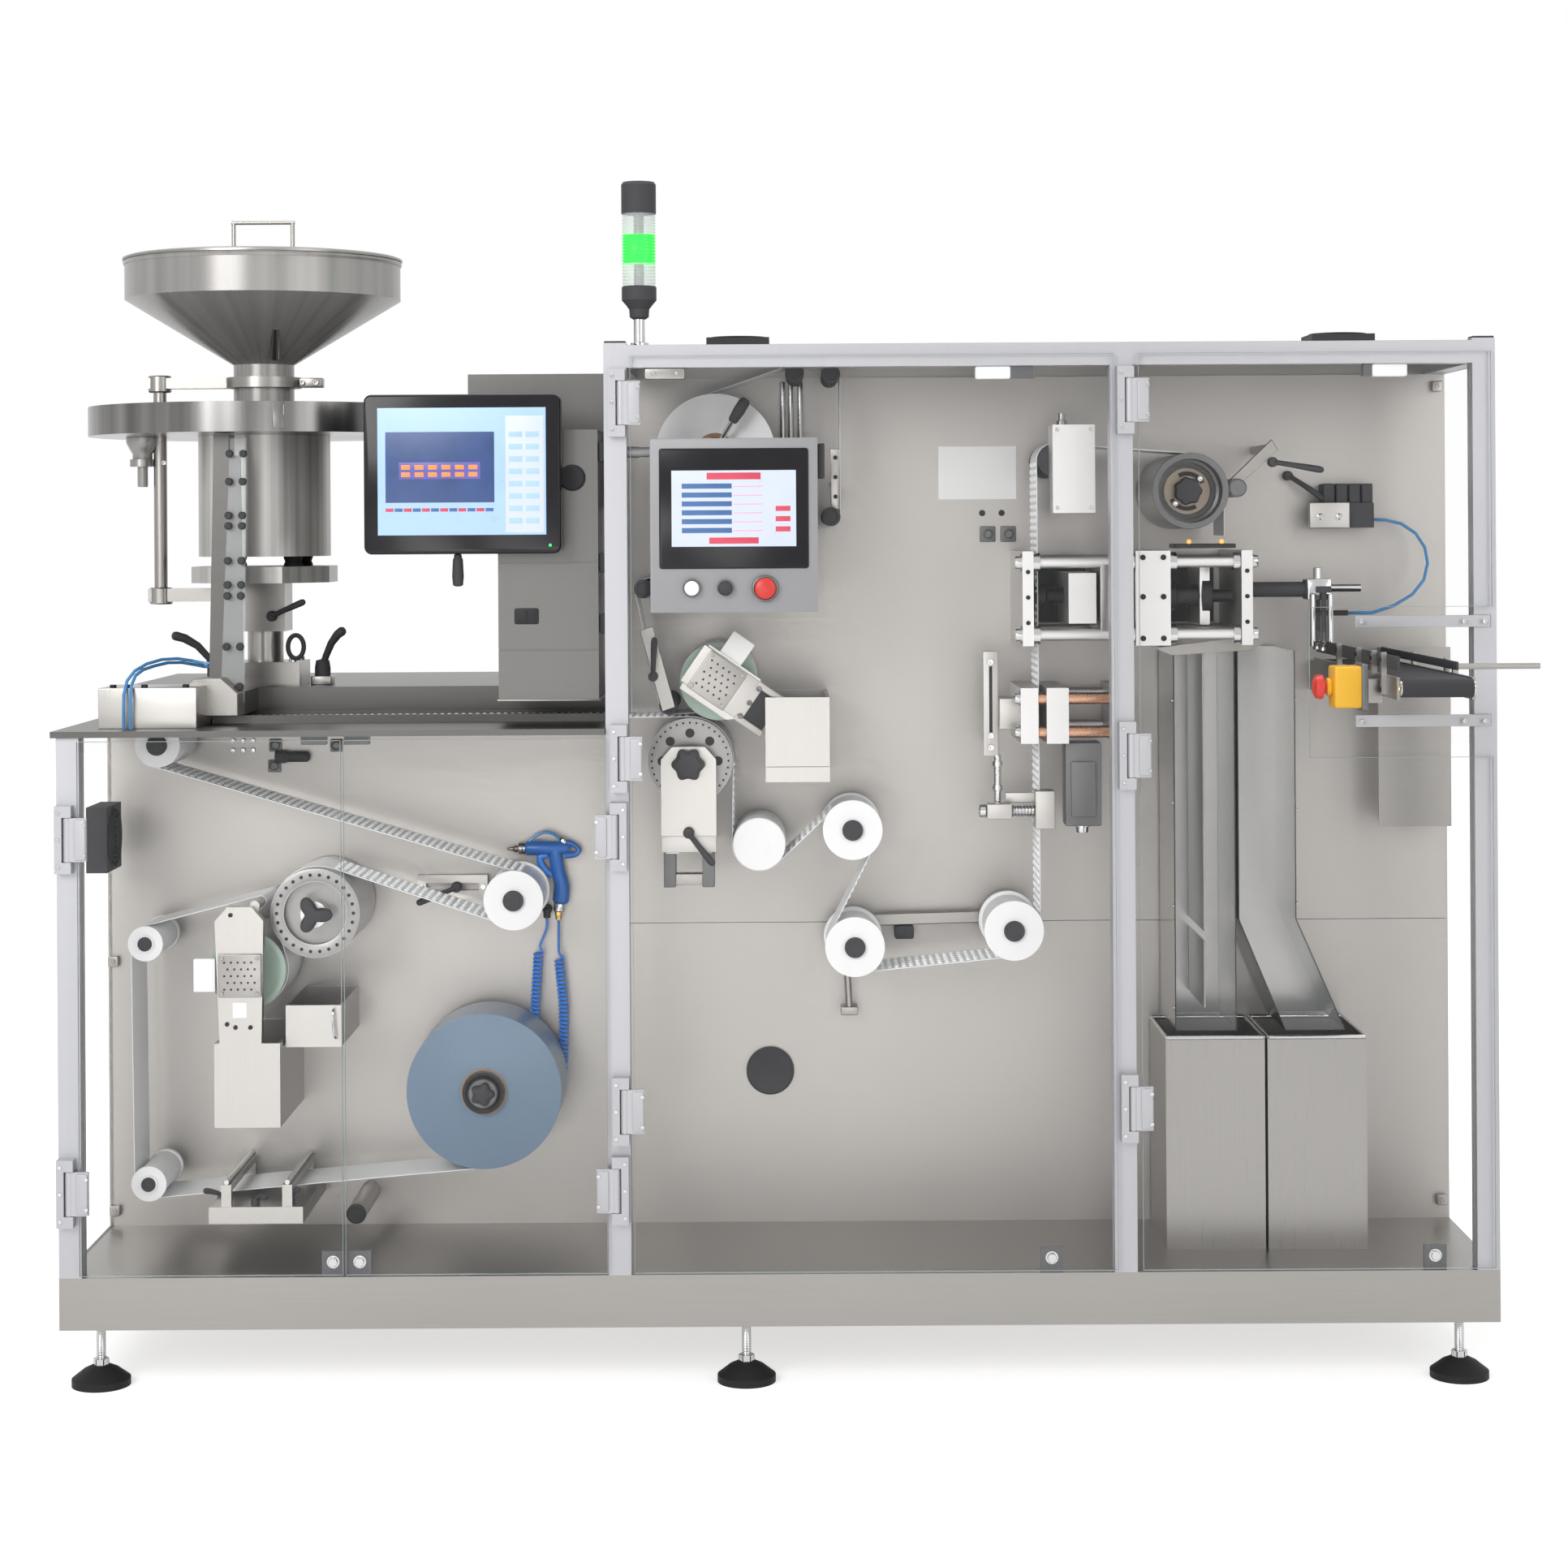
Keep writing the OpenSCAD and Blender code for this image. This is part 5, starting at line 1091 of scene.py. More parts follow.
@dataclass
class FrameTrim:
    """End caps, door edges, hinge bars, catches, sensors and screws on the frame."""

    caps_x: tuple[float, float] = (969, 2500)
    sheets: dict[str, list[Flat]] = field(default_factory=lambda: {
        "left_door": [(39, 210), (502.5, 210), (502.5, 1150), (39, 1150)],
        "table_door": [(507.5, 210), (968, 210), (968, 1150), (507.5, 1150)],
        "middle_door": [(1016, 210), (1866.0, 210), (1866.0, 1823), (1016, 1823)],
        "right_door": [(1910, 210), (2530, 210), (2530, 1109), (2208, 1109), (2208, 1374), (2530, 1374), (2530, 1823),
                       (1910, 1823)]})
    hinge_sites: tuple[tuple[str, float, int, tuple[float, ...]], ...] = (
        ("left_door", 23, 1, (297, 919)), ("table_door", 984, -1, (297, 919)),
        ("middle_door", 1000, 1, (436, 1056, 1681)), ("right_door", 1894, 1, (436, 1056, 1681)))

    def door_edges(self) -> None:
        """Polished edges round each door's clear sheet, which catch the light."""
        for door, corners in self.sheets.items():
            p = np.asarray(corners, float)
            lo, hi = np.minimum(p, np.roll(p, -1, 0)) - 0.4, np.maximum(p, np.roll(p, -1, 0)) + 0.4
            bars = [slab((a[0], b[0]), (-12.2, -5.8), (a[1], b[1]), 0.2, 0.2) for a, b in zip(lo, hi)]
            piece(f"{door}_edges", bars, EDGE, f"{door}_body")

    def hinges(self) -> None:
        """Screws on the fixed blocks and a raised grip bar on each door's leaf."""
        for door, axis, way, levels in self.hinge_sites:
            bars = [slab(tuple(sorted((axis + way * 13, axis + way * 33))), (-23, -19.6), (z + 24, z + 95), 1.2, 4)
                    for z in levels]
            piece(f"{door}_leaf_bars", bars, HINGE, f"{door}_body", slot="hinge_metal")
            screws = [socket_screw((axis + way * 27, -12, z + dz), Axis.FRONT, 3.4, 2.2).moved((way * 4, 0, 0))
                      for z in levels for dz in (33, 86)]
            piece(f"{door}_leaf_screws", joined(screws).moved((0, -11, 0)), CHROME, f"{door}_body")
            posts = [socket_screw((axis - way * 15.5, -22, z + dz), Axis.FRONT, 3.4, 2.2) for z in levels
                     for dz in (12, 60, 107)]
            piece(f"{door}_post_screws", posts, CHROME)

    def feet(self) -> None:
        """Bright stems and nuts over the black pads."""
        places = [(x, y, 0) for x in (60.0, 1210.0, 2480.0) for y in (60.0, 860.0)]
        stem = lathe([(8.3, 34), (8.3, 112)], (0, 0, 0), Axis.Z, 20)
        groove = np.linspace(38, 98, 41)
        thread = lathe(np.stack([8.2 + 0.5 * (np.arange(41) % 2), groove], -1).tolist(), (0, 0, 0), Axis.Z, 20)
        nut = hexed([(14.4, 35.6, 1), (14.4, 47.4, 1), (9, 47.4, 0)], (0, 0, 0), Axis.Z)
        top = hexed([(9, 99.6, 0), (14.4, 99.6, 1), (14.4, 111.6, 1), (9, 111.6, 0)], (0, 0, 0), Axis.Z)
        piece("foot_stems", joined([stem, thread, nut, top]).repeated(places), CHROME)

    def catches(self) -> None:
        """Hex bolts on the low catches, and sensors and a bracket under the top rail."""
        piece("catch_bolts", [hex_bolt((x, 3, 230), Axis.FRONT, 9, 7) for x in (483.0, 530.0, 1750.0, 2426.0)], CHROME)
        for i, x in enumerate((1625.0, 2325.0)):
            piece(f"door_sensor_{i}", slab((x, x + 62), (6, 30), (1780, 1802.8), 2, 4), WHITE)
        piece("rail_bracket", slab((1041, 1112), (8, 34), (1783, 1802.8), 1.5, 3), STEEL)
        piece("rail_bracket_screws", [socket_screw((x, 8, 1793), Axis.FRONT, 4, 3) for x in (1056.0, 1097.0)], CHROME)

    def plate_clamps(self) -> None:
        """Small edge clamps, a cap disc, sockets and a bare card on the mounting plates."""
        y = PLATE_FRONT
        clamps = []
        for x, z in ((6.0, 706.0), (6.0, 234.0), (2518.0, 240.0), (2518.0, 1780.0)):
            clamps += [slab((x - 4, x + 16), (y - 14, y), (z - 10, z + 10), 1.5, 3),
                       socket_screw((x + 6, y - 14, z), Axis.FRONT, 4, 3)]
        piece("plate_clamps", clamps, STEEL)
        rings = np.linspace(40, 4, 13)
        face = np.stack([np.repeat(rings, 2), np.tile([9.2, 9.7], 13)], -1).tolist()
        piece("plate_cap", lathe([(45, 0), (45, 7), (42, 9.5)] + face, (1254, y, 491), Axis.FRONT, 64), BLACK)
        piece("bare_card", slab((1579, 1727), (y - 1.2, y), (1571, 1672), 0.3, 1), PAPER)
        # Dark dots: painted shade in two holes of the plate.
        holes = [lathe([(6, 0), (6, 1.2), (4, 1.0), (0.5, 0.8)], (x, y, 1545), Axis.FRONT, 16)
                 for x in (1662.0, 1699.0)]
        piece("plate_hole_shade", holes, DARK)
        sockets = []
        for x in (1672.0, 1711.0):
            sockets += [slab((x - 15, x + 15), (y - 4, y), (1490, 1520), 1, 3),
                        lathe([(10, 0), (10, 7), (8, 8), (7, 3), (0.6, 3)], (x, y - 4, 1505), Axis.FRONT, 24)]
        piece("plate_sockets", sockets, GREY_RING, slot="black_plastic")

    def table_sockets(self) -> None:
        """Tube connectors, sockets and a plug on the plate below the table."""
        y = PLATE_FRONT
        socket = lathe([(4.6, 0), (4.6, 6), (3.6, 7), (2.4, 7), (2.2, 3), (0.3, 3)], (0, y, 0), Axis.FRONT, 16)
        piece("tube_connectors", socket.repeated([(x, 0, z) for x in (240, 259, 278) for z in (1104, 1122)]), CHROME)
        sockets = []
        for x, z in ((320.0, 1113.0), (318.0, 1074.0), (436.0, 1112.0)):
            sockets += [slab((x - 12, x + 12), (y - 5, y), (z - 12, z + 12), 1, 3),
                        lathe([(9, 0), (9, 8), (7, 9), (6, 4), (0.5, 4)], (x, y - 5, z), Axis.FRONT, 20)]
        piece("table_sockets", sockets, GREY_RING, slot="black_plastic")
        plug = lathe([(12, 0), (12, 20), (10, 22), (10, 60), (6, 64), (1, 64)], (322, 385, 1092), Axis.X, 24)
        piece("table_plug", plug, BLACK)

    def build(self) -> None:
        """Adds the trim."""
        piece("post_caps", [slab((x + 1, x + 39), (1, 39), (1846.9, 1850.5), 1, 3, Axis.Z) for x in self.caps_x], BLACK)
        self.door_edges()
        self.hinges()
        self.feet()
        self.catches()
        self.plate_clamps()
        self.table_sockets()


@dataclass
class Fans:
    """Wire guards over the three cooling fans."""

    roof: tuple[Point, ...] = ((1200, 500, 1884), (2357, 500, 1884))
    side: Point = (46, 250, 956)
    rings: tuple[float, ...] = (14, 24, 34, 44, 54)

    def guard(self) -> Shape:
        """Rings of wire on four spokes, about the origin and facing up."""
        t = np.arange(40) * TAU / 40
        loops = [tube(np.stack([r * np.cos(t), r * np.sin(t), np.full(40, 2.0)], -1), 1.1, 6, True) for r in self.rings]
        spokes = [rod((8, 0, 1), (57, 0, 1), 1.2, 6).turned(a, (0, 0, 0), (0, 0, 1)) for a in (45, 135, 225, 315)]
        return joined(loops + spokes)

    def build(self) -> None:
        """Adds the guards."""
        guard = self.guard()
        for i, at in enumerate(self.roof):
            piece(f"roof_fan_guard_{i}", guard.moved(at), BLACK)
        piece("side_fan_guard", guard.turned(90, (0, 0, 0), (0, 1, 0)).moved(self.side), BLACK)


@dataclass
class Feeder:
    """Details of the tablet feeder: hopper window, clamps, levers, chute strip and bowl gate."""

    x: float = FEEDER_AXIS[0]
    y: float = FEEDER_AXIS[1]

    def hopper(self) -> None:
        """Rolled rim and a slanted window slot in the hopper's cone."""
        rim = ring([(258, 2026), (262.5, 2026), (264, 2030), (262.5, 2034.6), (258, 2034.6)], (self.x, self.y, 0),
                   Axis.Z, 96)
        # The rim takes the spun steel with its painted highlight streaks.
        piece("hopper_rim", rim, SPUN_PAINTED_HIGHLIGHTS)
        a, b = np.array([337.0, 326.0, 1902.0]), np.array([324.0, 390.0, 1848.0])
        frame_path = np.stack([a + t * (b - a) for t in np.linspace(0, 1, 8)])
        piece("hopper_window_frame", tube(frame_path, 8.5, 16), STEEL)
        inner = frame_path + np.array([-0.8, -3.5, 1.2])
        piece("hopper_window", tube(inner[1:-1], 6.0, 12), CABLE_WHITE)

    def clamps(self) -> None:
        """Split clamp screws, arm sleeve and the small funnel under the bowl's edge."""
        parts = [slab((352, 404), (456, 484), (1794, 1812), 1.5, 3, Axis.Z)]
        parts += [socket_screw((392, 456, 1803), Axis.FRONT, 6, 6), socket_screw((366, 456, 1803), Axis.FRONT, 5, 5)]
        piece("neck_clamp", parts, STEEL)
        sleeves = [lathe([(20, 0), (22, 2), (22, 30), (20, 32), (13, 32)], (90, 470, z), Axis.Z, 28)
                   for z in (1786.0, 1380.0)]
        piece("stand_sleeves", sleeves, STEEL)
        funnel = lathe([(9, 1605), (10, 1608), (10, 1650), (19, 1654), (19, 1668), (24, 1676), (31, 1690), (31, 1699.5),
                        (27, 1699.5)], (56, 470, 0), Axis.Z, 32)
        # The funnel takes the spun steel with its painted highlight streaks.
        piece("bowl_funnel", funnel, SPUN_PAINTED_HIGHLIGHTS)
        clamp = joined([lathe([(12, 1644), (24, 1644), (24, 1658), (12, 1658)], (56, 470, 0), Axis.Z, 28),
                        rod((78, 470, 1651), (96, 470, 1651), 5), socket_screw((100, 458, 1651), Axis.FRONT, 5, 5)])
        piece("funnel_clamp", clamp, STEEL)

    def column(self) -> None:
        """Rubber mounts, bracket, clamping levers and bolts on the column."""
        mounts = [lathe([(17, 0), (18, 2), (15, 9), (18, 17), (17, 19)], (self.x + 90 * c, self.y + 90 * s, 1452),
                        Axis.Z, 24) for c, s in ((0.71, 0.71), (-0.71, 0.71), (0.71, -0.71), (-0.71, -0.71))]
        piece("drum_mounts", mounts, RUBBER)
        piece("column_bracket", slab((200, 245), (430, 510), (1336, 1404), 2, 4), STEEL)
        piece("clamp_lever", lever((311, 425, 1357), (378, 398, 1386), Axis.FRONT, 10, 18, 6.5), BLACK)
        bolts = [socket_screw((self.x + dx, self.y + dy, 1270), Axis.Z, 7, 7) for dx in (-60, 60) for dy in (-50, 50)]
        piece("column_bolts", bolts, CHROME)
        piece("base_lever_left", lever((196, 452, 1225), (120, 420, 1322), Axis.Z, 15, 46, 9), BLACK)
        piece("base_lever_right", lever((402, 452, 1225), (448, 420, 1330), Axis.Z, 15, 46, 9), BLACK)
        t = np.arange(28) * TAU / 28
        loop = np.stack([358 + 15 * np.cos(t), np.full(28, 408.0), 1299 + 22 * np.sin(t)], -1)
        piece("base_ring", tube(loop, 4.5, 10, True), BLACK)
        posts = [slab((176, 216), (430, 474), (1225, 1242), 1.5, 3, Axis.Z),
                 slab((382, 422), (430, 474), (1225, 1242), 1.5, 3, Axis.Z)]
        piece("lever_feet", posts, STEEL)

    def chute(self) -> None:
        """Clear strip over the slanted chute, held by two rows of black knobs, its foot and the bowl's gate."""
        piece("chute_strip", plate([(252, 1206), (296, 1206), (302, 1690), (272, 1690)], (206, 210.6), 1.0), STRIP)
        levels = np.array([1661, 1610, 1548, 1529, 1465, 1421, 1401, 1308, 1235, 1202.0])
        lean = (levels - 1200) * 0.022
        knob = lathe([(4, 0), (7, 1), (7, 8), (5.5, 10), (0.6, 10)], (0, 206, 0), Axis.FRONT, 18)
        places = [(x + s, 0, z) for z, s in zip(levels, lean) for x in (262.0, 287.0)]
        piece("chute_knobs", knob.repeated(places), BLACK)
        gate = slab((360.3, 379.7), (147.9, 151.9), (1706.2, 1754.6), 0.4,
                    0.6).turned(14, (370, 149.9, 1730), (0, 0, 1))
        # The gate takes the bowl's steel with its painted shade and painted highlights.
        piece("bowl_gate", gate, BOWL_PAINTED_SHADE_AND_HIGHLIGHTS)
        foot = plate([(168, 1184), (294, 1184), (294, 1224), (262, 1252), (214, 1252), (168, 1208)], (150, 218.8), 1.5)
        piece("chute_foot", foot, STEEL)

    def build(self) -> None:
        """Adds the feeder's pieces."""
        self.hopper()
        self.clamps()
        self.column()
        self.chute()
        # The box front takes the lighter steel copy: painted light.
        piece("table_box", slab((61.4, 236.6), (59.4, 190.6), (1168.2, 1240.6), 1, 2), STEEL_PAINTED_LIGHT)
        piece("table_box_bolts", [socket_screw((x, 80, 1240), Axis.Z, 6, 6) for x in (84, 112, 140, 214)], DARK)


@dataclass
class Hood:
    """Latch, hinges and shelf of the inspection hood."""

    front: float = 130.0

    def build(self) -> None:
        """Adds the hood's pieces."""
        y = self.front
        latch = joined([slab((798, 842), (y - 3, y), (1348, 1377), 1, 4),
                        slab((806, 822), (y - 4.2, y - 2.6), (1353, 1372), 0.6, 2)])
        piece("hood_latch", latch, DARK)
        hinges = [slab((951, 962), (y + 6, y + 30), (z, z + 36), 2, 4) for z in (1330.0, 1440.0, 1640.0)]
        piece("hood_hinges", hinges, BLACK)
        piece("hood_shelf", slab((766, 953), (y - 3, 352), (1209, 1212), 0.8, 1, Axis.Z), STEEL)


@dataclass
class FilmPath:
    """Line of the film over its rollers, and the formed pockets on it.

    Attributes:
        wheels: (x, z, radius of the film's middle, turn) for each roller from the forming drum on.
        front: Front edge of the film's lane.
        pitch: Distance from pocket to pocket along the film.
        pocket_r: Radius of a pocket.
        pocket_h: Height of a pocket.
    """

    wheels: tuple[tuple[float, float, float, int], ...] = (
        (427, 822, 82.2, -1), (787, 841, 49.7, 1), (138, 1129, 42.3, -1), (1112, 1095, 78.7, -1), (1237, 941, 49.7, 1),
        (1408, 966, 49.7, -1), (1411, 752, 49.7, 1), (1702, 780, 49.7, 1), (1781, 1640, 31.2, -1))
    front: float = 215.0
    pitch: float = 13.0
    pocket_r: float = 4.6
    pocket_h: float = 2.8

    def stretches(self) -> list[tuple[Array, float, int]]:
        """Straight runs between neighbouring rollers, touching both.

        The direction of a run is atan2(dz, dx) + asin((ta*ra - tb*rb) / length), for turns t and radii r.

        Returns:
            Start and end of each run, its direction in radians and the side that the pockets face.
        """
        runs = []
        for i, (a, b) in enumerate(zip(self.wheels[:-1], self.wheels[1:])):
            dx, dz = b[0] - a[0], b[1] - a[1]
            t = math.atan2(dz, dx) + math.asin((a[3] * a[2] - b[3] * b[2]) / math.hypot(dx, dz))
            side = np.array([math.sin(t), -math.cos(t)])
            ends = np.stack([np.array(w[:2]) + w[3] * w[2] * side for w in (a, b)])
            runs.append((ends, t, 1 if i == 1 else -1))
        return runs

    def pockets(self) -> Shape:
        """Rows of shallow domes along the runs, each a turned profile of four rings."""
        dome = lathe([(self.pocket_r, 0), (self.pocket_r * 0.92, self.pocket_h * 0.55),
                      (self.pocket_r * 0.6, self.pocket_h), (self.pocket_r * 0.1, self.pocket_h * 1.05)], (0, 0, 0),
                     Axis.Z, 10)
        rows = self.front + np.array([16.0, 40.0, 65.0, 90.0, 114.0])
        copies = []
        for ends, t, face in self.stretches():
            count = int(np.linalg.norm(ends[1] - ends[0]) // self.pitch)
            turned = dome.turned(90 - math.degrees(t) + (90 if face > 0 else -90), (0, 0, 0))
            side = np.array([math.sin(t), -math.cos(t)]) * face * 0.6
            line = ends[0] + (np.arange(count) + 0.5)[:, None] / count * (ends[1] - ends[0]) + side
            places = [(p[0], y, p[1]) for p in line for y in rows]
            copies.append(turned.repeated(places))
        return joined(copies)

    def build(self) -> None:
        """Adds the pockets."""
        piece("film_pockets", self.pockets(), POCKET)


def perforated(middle: Flat, size: float, front: float, degrees: float) -> tuple[Shape, Shape]:
    """Square cover with four screws, and a staggered field of dark dots that are painted shade in its holes.

    Args:
        middle: Its middle, x and z.
        size: Its side.
        front: Its front face.
        degrees: Its turn in the plane of the plates.

    Returns:
        The cover with its screws, and the dark dots of painted hole shade.
    """
    x, z = middle
    h = size / 2
    cover = [slab((x - h, x + h), (front, front + 8), (z - h, z + h), 1.2, 3)]
    cover += [socket_screw((x + a * (h - 7), front, z + b * (h - 7)), Axis.FRONT, 3.6, 3) for a in (-1, 1)
              for b in (-1, 1)]
    dot = lathe([(2.1, 0), (2.1, 0.3), (0.3, 0.35)], (0, 0, 0), Axis.FRONT, 10)
    step = size / 6.4
    places = [(x + (i - 2 + 0.5 * (j % 2) - 0.25) * step, front, z + (j - 2) * step) for j in range(5)
              for i in range(5)]
    about = (x, front, z)
    return joined(cover).turned(degrees, about), dot.repeated(places).turned(degrees, about)


@dataclass
class FormingBay:
    """Forming heater, tray, splice table, tension bar and air gun details."""

    arm_front: float = 130.0

    def heater(self) -> None:
        """Perforated cover, screws, side block and plain card on the forming heater's arm."""
        cover, holes = perforated((299, 717), 78, self.arm_front - 8, 0)
        piece("heater_cover", cover, STEEL)
        # Dark dots: painted shade in the cover's holes.
        piece("heater_cover_hole_shade", holes, DARK)
        piece("heater_block", slab((214, 253), (132, 148), (687, 747), 1, 2), WHITE)
        screws = [socket_screw((x, 130, z), Axis.FRONT, 4, 3)
                  for x, z in ((282, 826), (275, 629), (290, 623), (317, 623))]
        piece("heater_screws", screws, DARK)
        piece("heater_card", slab((285, 311), (129, 130), (640, 668), 0.3, 1), PAPER)

    def tray(self) -> None:
        """Bent wire handle on the tray."""
        wire = smooth([(462, 170, 650), (462, 156, 646), (462, 154, 628), (464, 154, 606), (466, 160, 598),
                       (466, 170, 596)], 5)
        piece("tray_handle", tube(wire, 2.2, 10), CHROME)

    def splice(self) -> None:
        """Clamping levers, chrome bars and rod end at the splice table."""
        levers = [lever((268, 150, 299), (232, 122, 330), Axis.Z, 8, 14, 5.5),
                  lever((384, 150, 299), (404, 120, 332), Axis.Z, 8, 14, 5.5),
                  lever((322, 142, 299), (346, 116, 318), Axis.Z, 8, 14, 5.5)]
        piece("splice_levers", levers, BLACK)
        piece("splice_bars", [rod((x, 134, 342), (x, 398, 342), 5) for x in (271.0, 381.0)], CHROME)
        end = lathe([(18.2, -2), (18.2, 0), (16, 1.5), (12, 1.5), (11, 0.8), (0.5, 0.8)], (496, 200, 269), Axis.FRONT,
                    32)
        piece("rod_end", end, DARK)

    def tension(self) -> None:
        """Clamping lever and screws on the tension bar."""
        piece("tension_lever", lever((664, 378, 845), (592, 344, 818), Axis.FRONT, 10, 18, 6.5), BLACK)
        piece("tension_screws", [socket_screw((x, 378, 845), Axis.FRONT, 5, 4) for x in (597.0, 714.0)], CHROME)

    def gun(self) -> None:
        """Air gun: barrel, silver nozzle, swelling grip, eye, trigger, bow and fittings, hung on the plate."""
        y = 378.0
        barrel = lathe([(7, 0), (11.5, 1), (13, 4), (13.4, 30), (13, 60), (11, 76), (6, 84), (1, 85)], (794, y, 917),
                       Axis.X, 32)
        grip = smooth([(850, y, 918), (852, y, 896), (856, y, 872), (862, y, 846), (861, y, 826), (859, y, 813)], 6)
        girth = np.interp(np.linspace(0, 1, len(grip)), [0, 0.2, 0.45, 0.75, 0.93, 1], [13, 13.5, 13, 15.5, 15.5, 12])
        eye = smooth([(864, y, 928), (880, y, 926), (895, y, 914), (888, y, 905), (868, y, 903)], 6)
        wide = np.interp(np.linspace(0, 1, len(eye)), [0, 0.5, 1], [5.5, 4.5, 6.5])
        body = piece("gun_body", [barrel, tube(grip, girth, 24), tube(eye, wide, 14)], BLUE)
        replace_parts(body, "air_gun")
        bow = smooth([(800, y, 928), (814, y, 940), (832, y, 947), (850, y, 942), (868, y, 926)], 6)
        piece("gun_bow", tube(bow, 3.2, 10), TUBE_BLUE)
        collar = lathe([(8, 0), (11, 1), (11, 5), (9.5, 6), (11, 7), (11, 13), (8, 15)], (795, y, 917), Axis.LEFT, 28)
        piece("gun_collar", collar, CHROME)
        tip = lathe([(6.5, 0), (6.5, 7), (4, 10), (3.2, 18), (1.2, 22)], (781, y, 916), Axis.LEFT, 24)
        piece("gun_nozzle", tip, BRONZE)
        trigger = smooth([(836, y, 904), (822, y, 900), (824, y, 886), (834, y, 872), (844, y, 866)], 6)
        piece("gun_trigger", tube(trigger, 6.5, 14), COIL_BLUE)
        cap = lathe([(8, 0), (9, 1), (9, 6), (7, 8), (1, 8)], (0, 0, 0), Axis.Z,
                    24).turned(38, (0, 0, 0)).moved((864, y, 928))
        piece("gun_cap", cap, CHROME)
        piece("gun_sleeve", lathe([(10, 0), (10.5, 2), (10.5, 14), (8.5, 16)], (857, y, 813), Axis.DOWN, 28), CHROME)
        nut = hexed([(7.5, 0, 1), (7.5, 7, 1), (5.6, 8, 0), (5.6, 10, 0), (6.6, 10.4, 1), (6.6, 15, 1), (3, 15.6, 0)],
                    (856, y, 797), Axis.DOWN)
        piece("gun_nut", nut, BRASS)
        port = joined([lathe([(9, 0), (9, 12), (7, 14), (7, 26), (2, 31)], (834, 400, 800), Axis.FRONT, 24),
                       lathe([(6.5, 0), (6.8, 2), (6.8, 14), (3, 15.6)], (834, y, 800), Axis.DOWN, 20)])
        piece("hose_port", port, DARK)

    def build(self) -> None:
        """Adds the bay's pieces."""
        self.heater()
        self.tray()
        self.splice()
        self.tension()
        self.gun()


@dataclass
class CoilHose:
    """Curly air hose that hangs from its port on the plate, behind the film reel, and runs up to the gun.

    Attributes:
        route: Points of the middle line, the same as in the solid model.
        tail: Spans at each end that aren't curled.
        tube_r: Radius of the hose.
        coil_r: Radius of the curls' middle line.
        pitch: Distance from curl to curl.
    """

    route: tuple[Point, ...] = (
        (834, 378, 784), (834, 378, 770), (829, 377, 753), (822, 376, 737), (818, 376, 720), (816, 376, 690),
        (814, 376, 660), (812, 376, 630), (811, 376, 600), (811, 376, 570), (811, 376, 540), (812, 376, 515),
        (814, 376, 495), (822, 376, 477), (837, 376, 469), (852, 376, 477), (860, 376, 495), (863, 376, 515),
        (864, 376, 540), (865, 376, 570), (865, 376, 600), (864, 376, 630), (861, 376, 660), (858, 376, 690),
        (857, 377, 707), (856, 378, 724), (856, 378, 745), (856, 378, 765), (856, 378, 781))
    tail: int = 4
    tube_r: float = 2.5
    coil_r: float = 7.6
    pitch: float = 7.6

    def helix(self) -> tuple[Array, Array]:
        """Curls round the route: p(s) = c(s) + r(s) * (cos a * u + sin a * v), with a = tau * (s - s0) / pitch.

        The radius r(s) rises from nought to the coil's own at the start and falls at the end.

        Returns:
            Points of the hose's middle line, and the outward direction of the curls at each.
        """
        per_span = 40
        rough = smooth(self.route, per_span)
        run = np.concatenate([[0], np.cumsum(np.linalg.norm(np.diff(rough, axis=0), axis=1))])
        s = np.linspace(0, run[-1], int(run[-1] / 0.5))
        middle = np.stack([np.interp(s, run, rough[:, i]) for i in range(3)], -1)
        along = np.gradient(middle, axis=0)
        along /= np.linalg.norm(along, axis=1, keepdims=True)
        v = np.array([0.0, 1.0, 0.0]) - along * along[:, 1:2]
        v /= np.linalg.norm(v, axis=1, keepdims=True)
        u = np.cross(along, v)
        first, last = run[self.tail * per_span], run[-1 - self.tail * per_span]
        a = (TAU * np.clip(s - first, 0, last - first) / self.pitch)[:, None]
        out = np.cos(a) * u + np.sin(a) * v
        rise = np.clip((s - first + 14) / 14, 0, 1) * np.clip((last + 14 - s) / 14, 0, 1)
        r = (self.coil_r * (3 * rise**2 - 2 * rise**3))[:, None]
        return middle + r * out, out

    def build(self) -> None:
        line, out = self.helix()
        along = np.gradient(line, axis=0)
        along /= np.linalg.norm(along, axis=1, keepdims=True)
        u = out - along * np.sum(out * along, 1, keepdims=True)
        u /= np.linalg.norm(u, axis=1, keepdims=True)
        v = np.cross(along, u)
        c = self.tube_r * circle(8)
        rings = line[:, None] + c[None, :, :1] * u[:, None] + c[None, :, 1:] * v[:, None]
        hose = piece("curly_hose", skin(rings), COIL_BLUE)
        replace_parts(hose, "coil_hose")
        path = [Machine.place(p) for p in line]


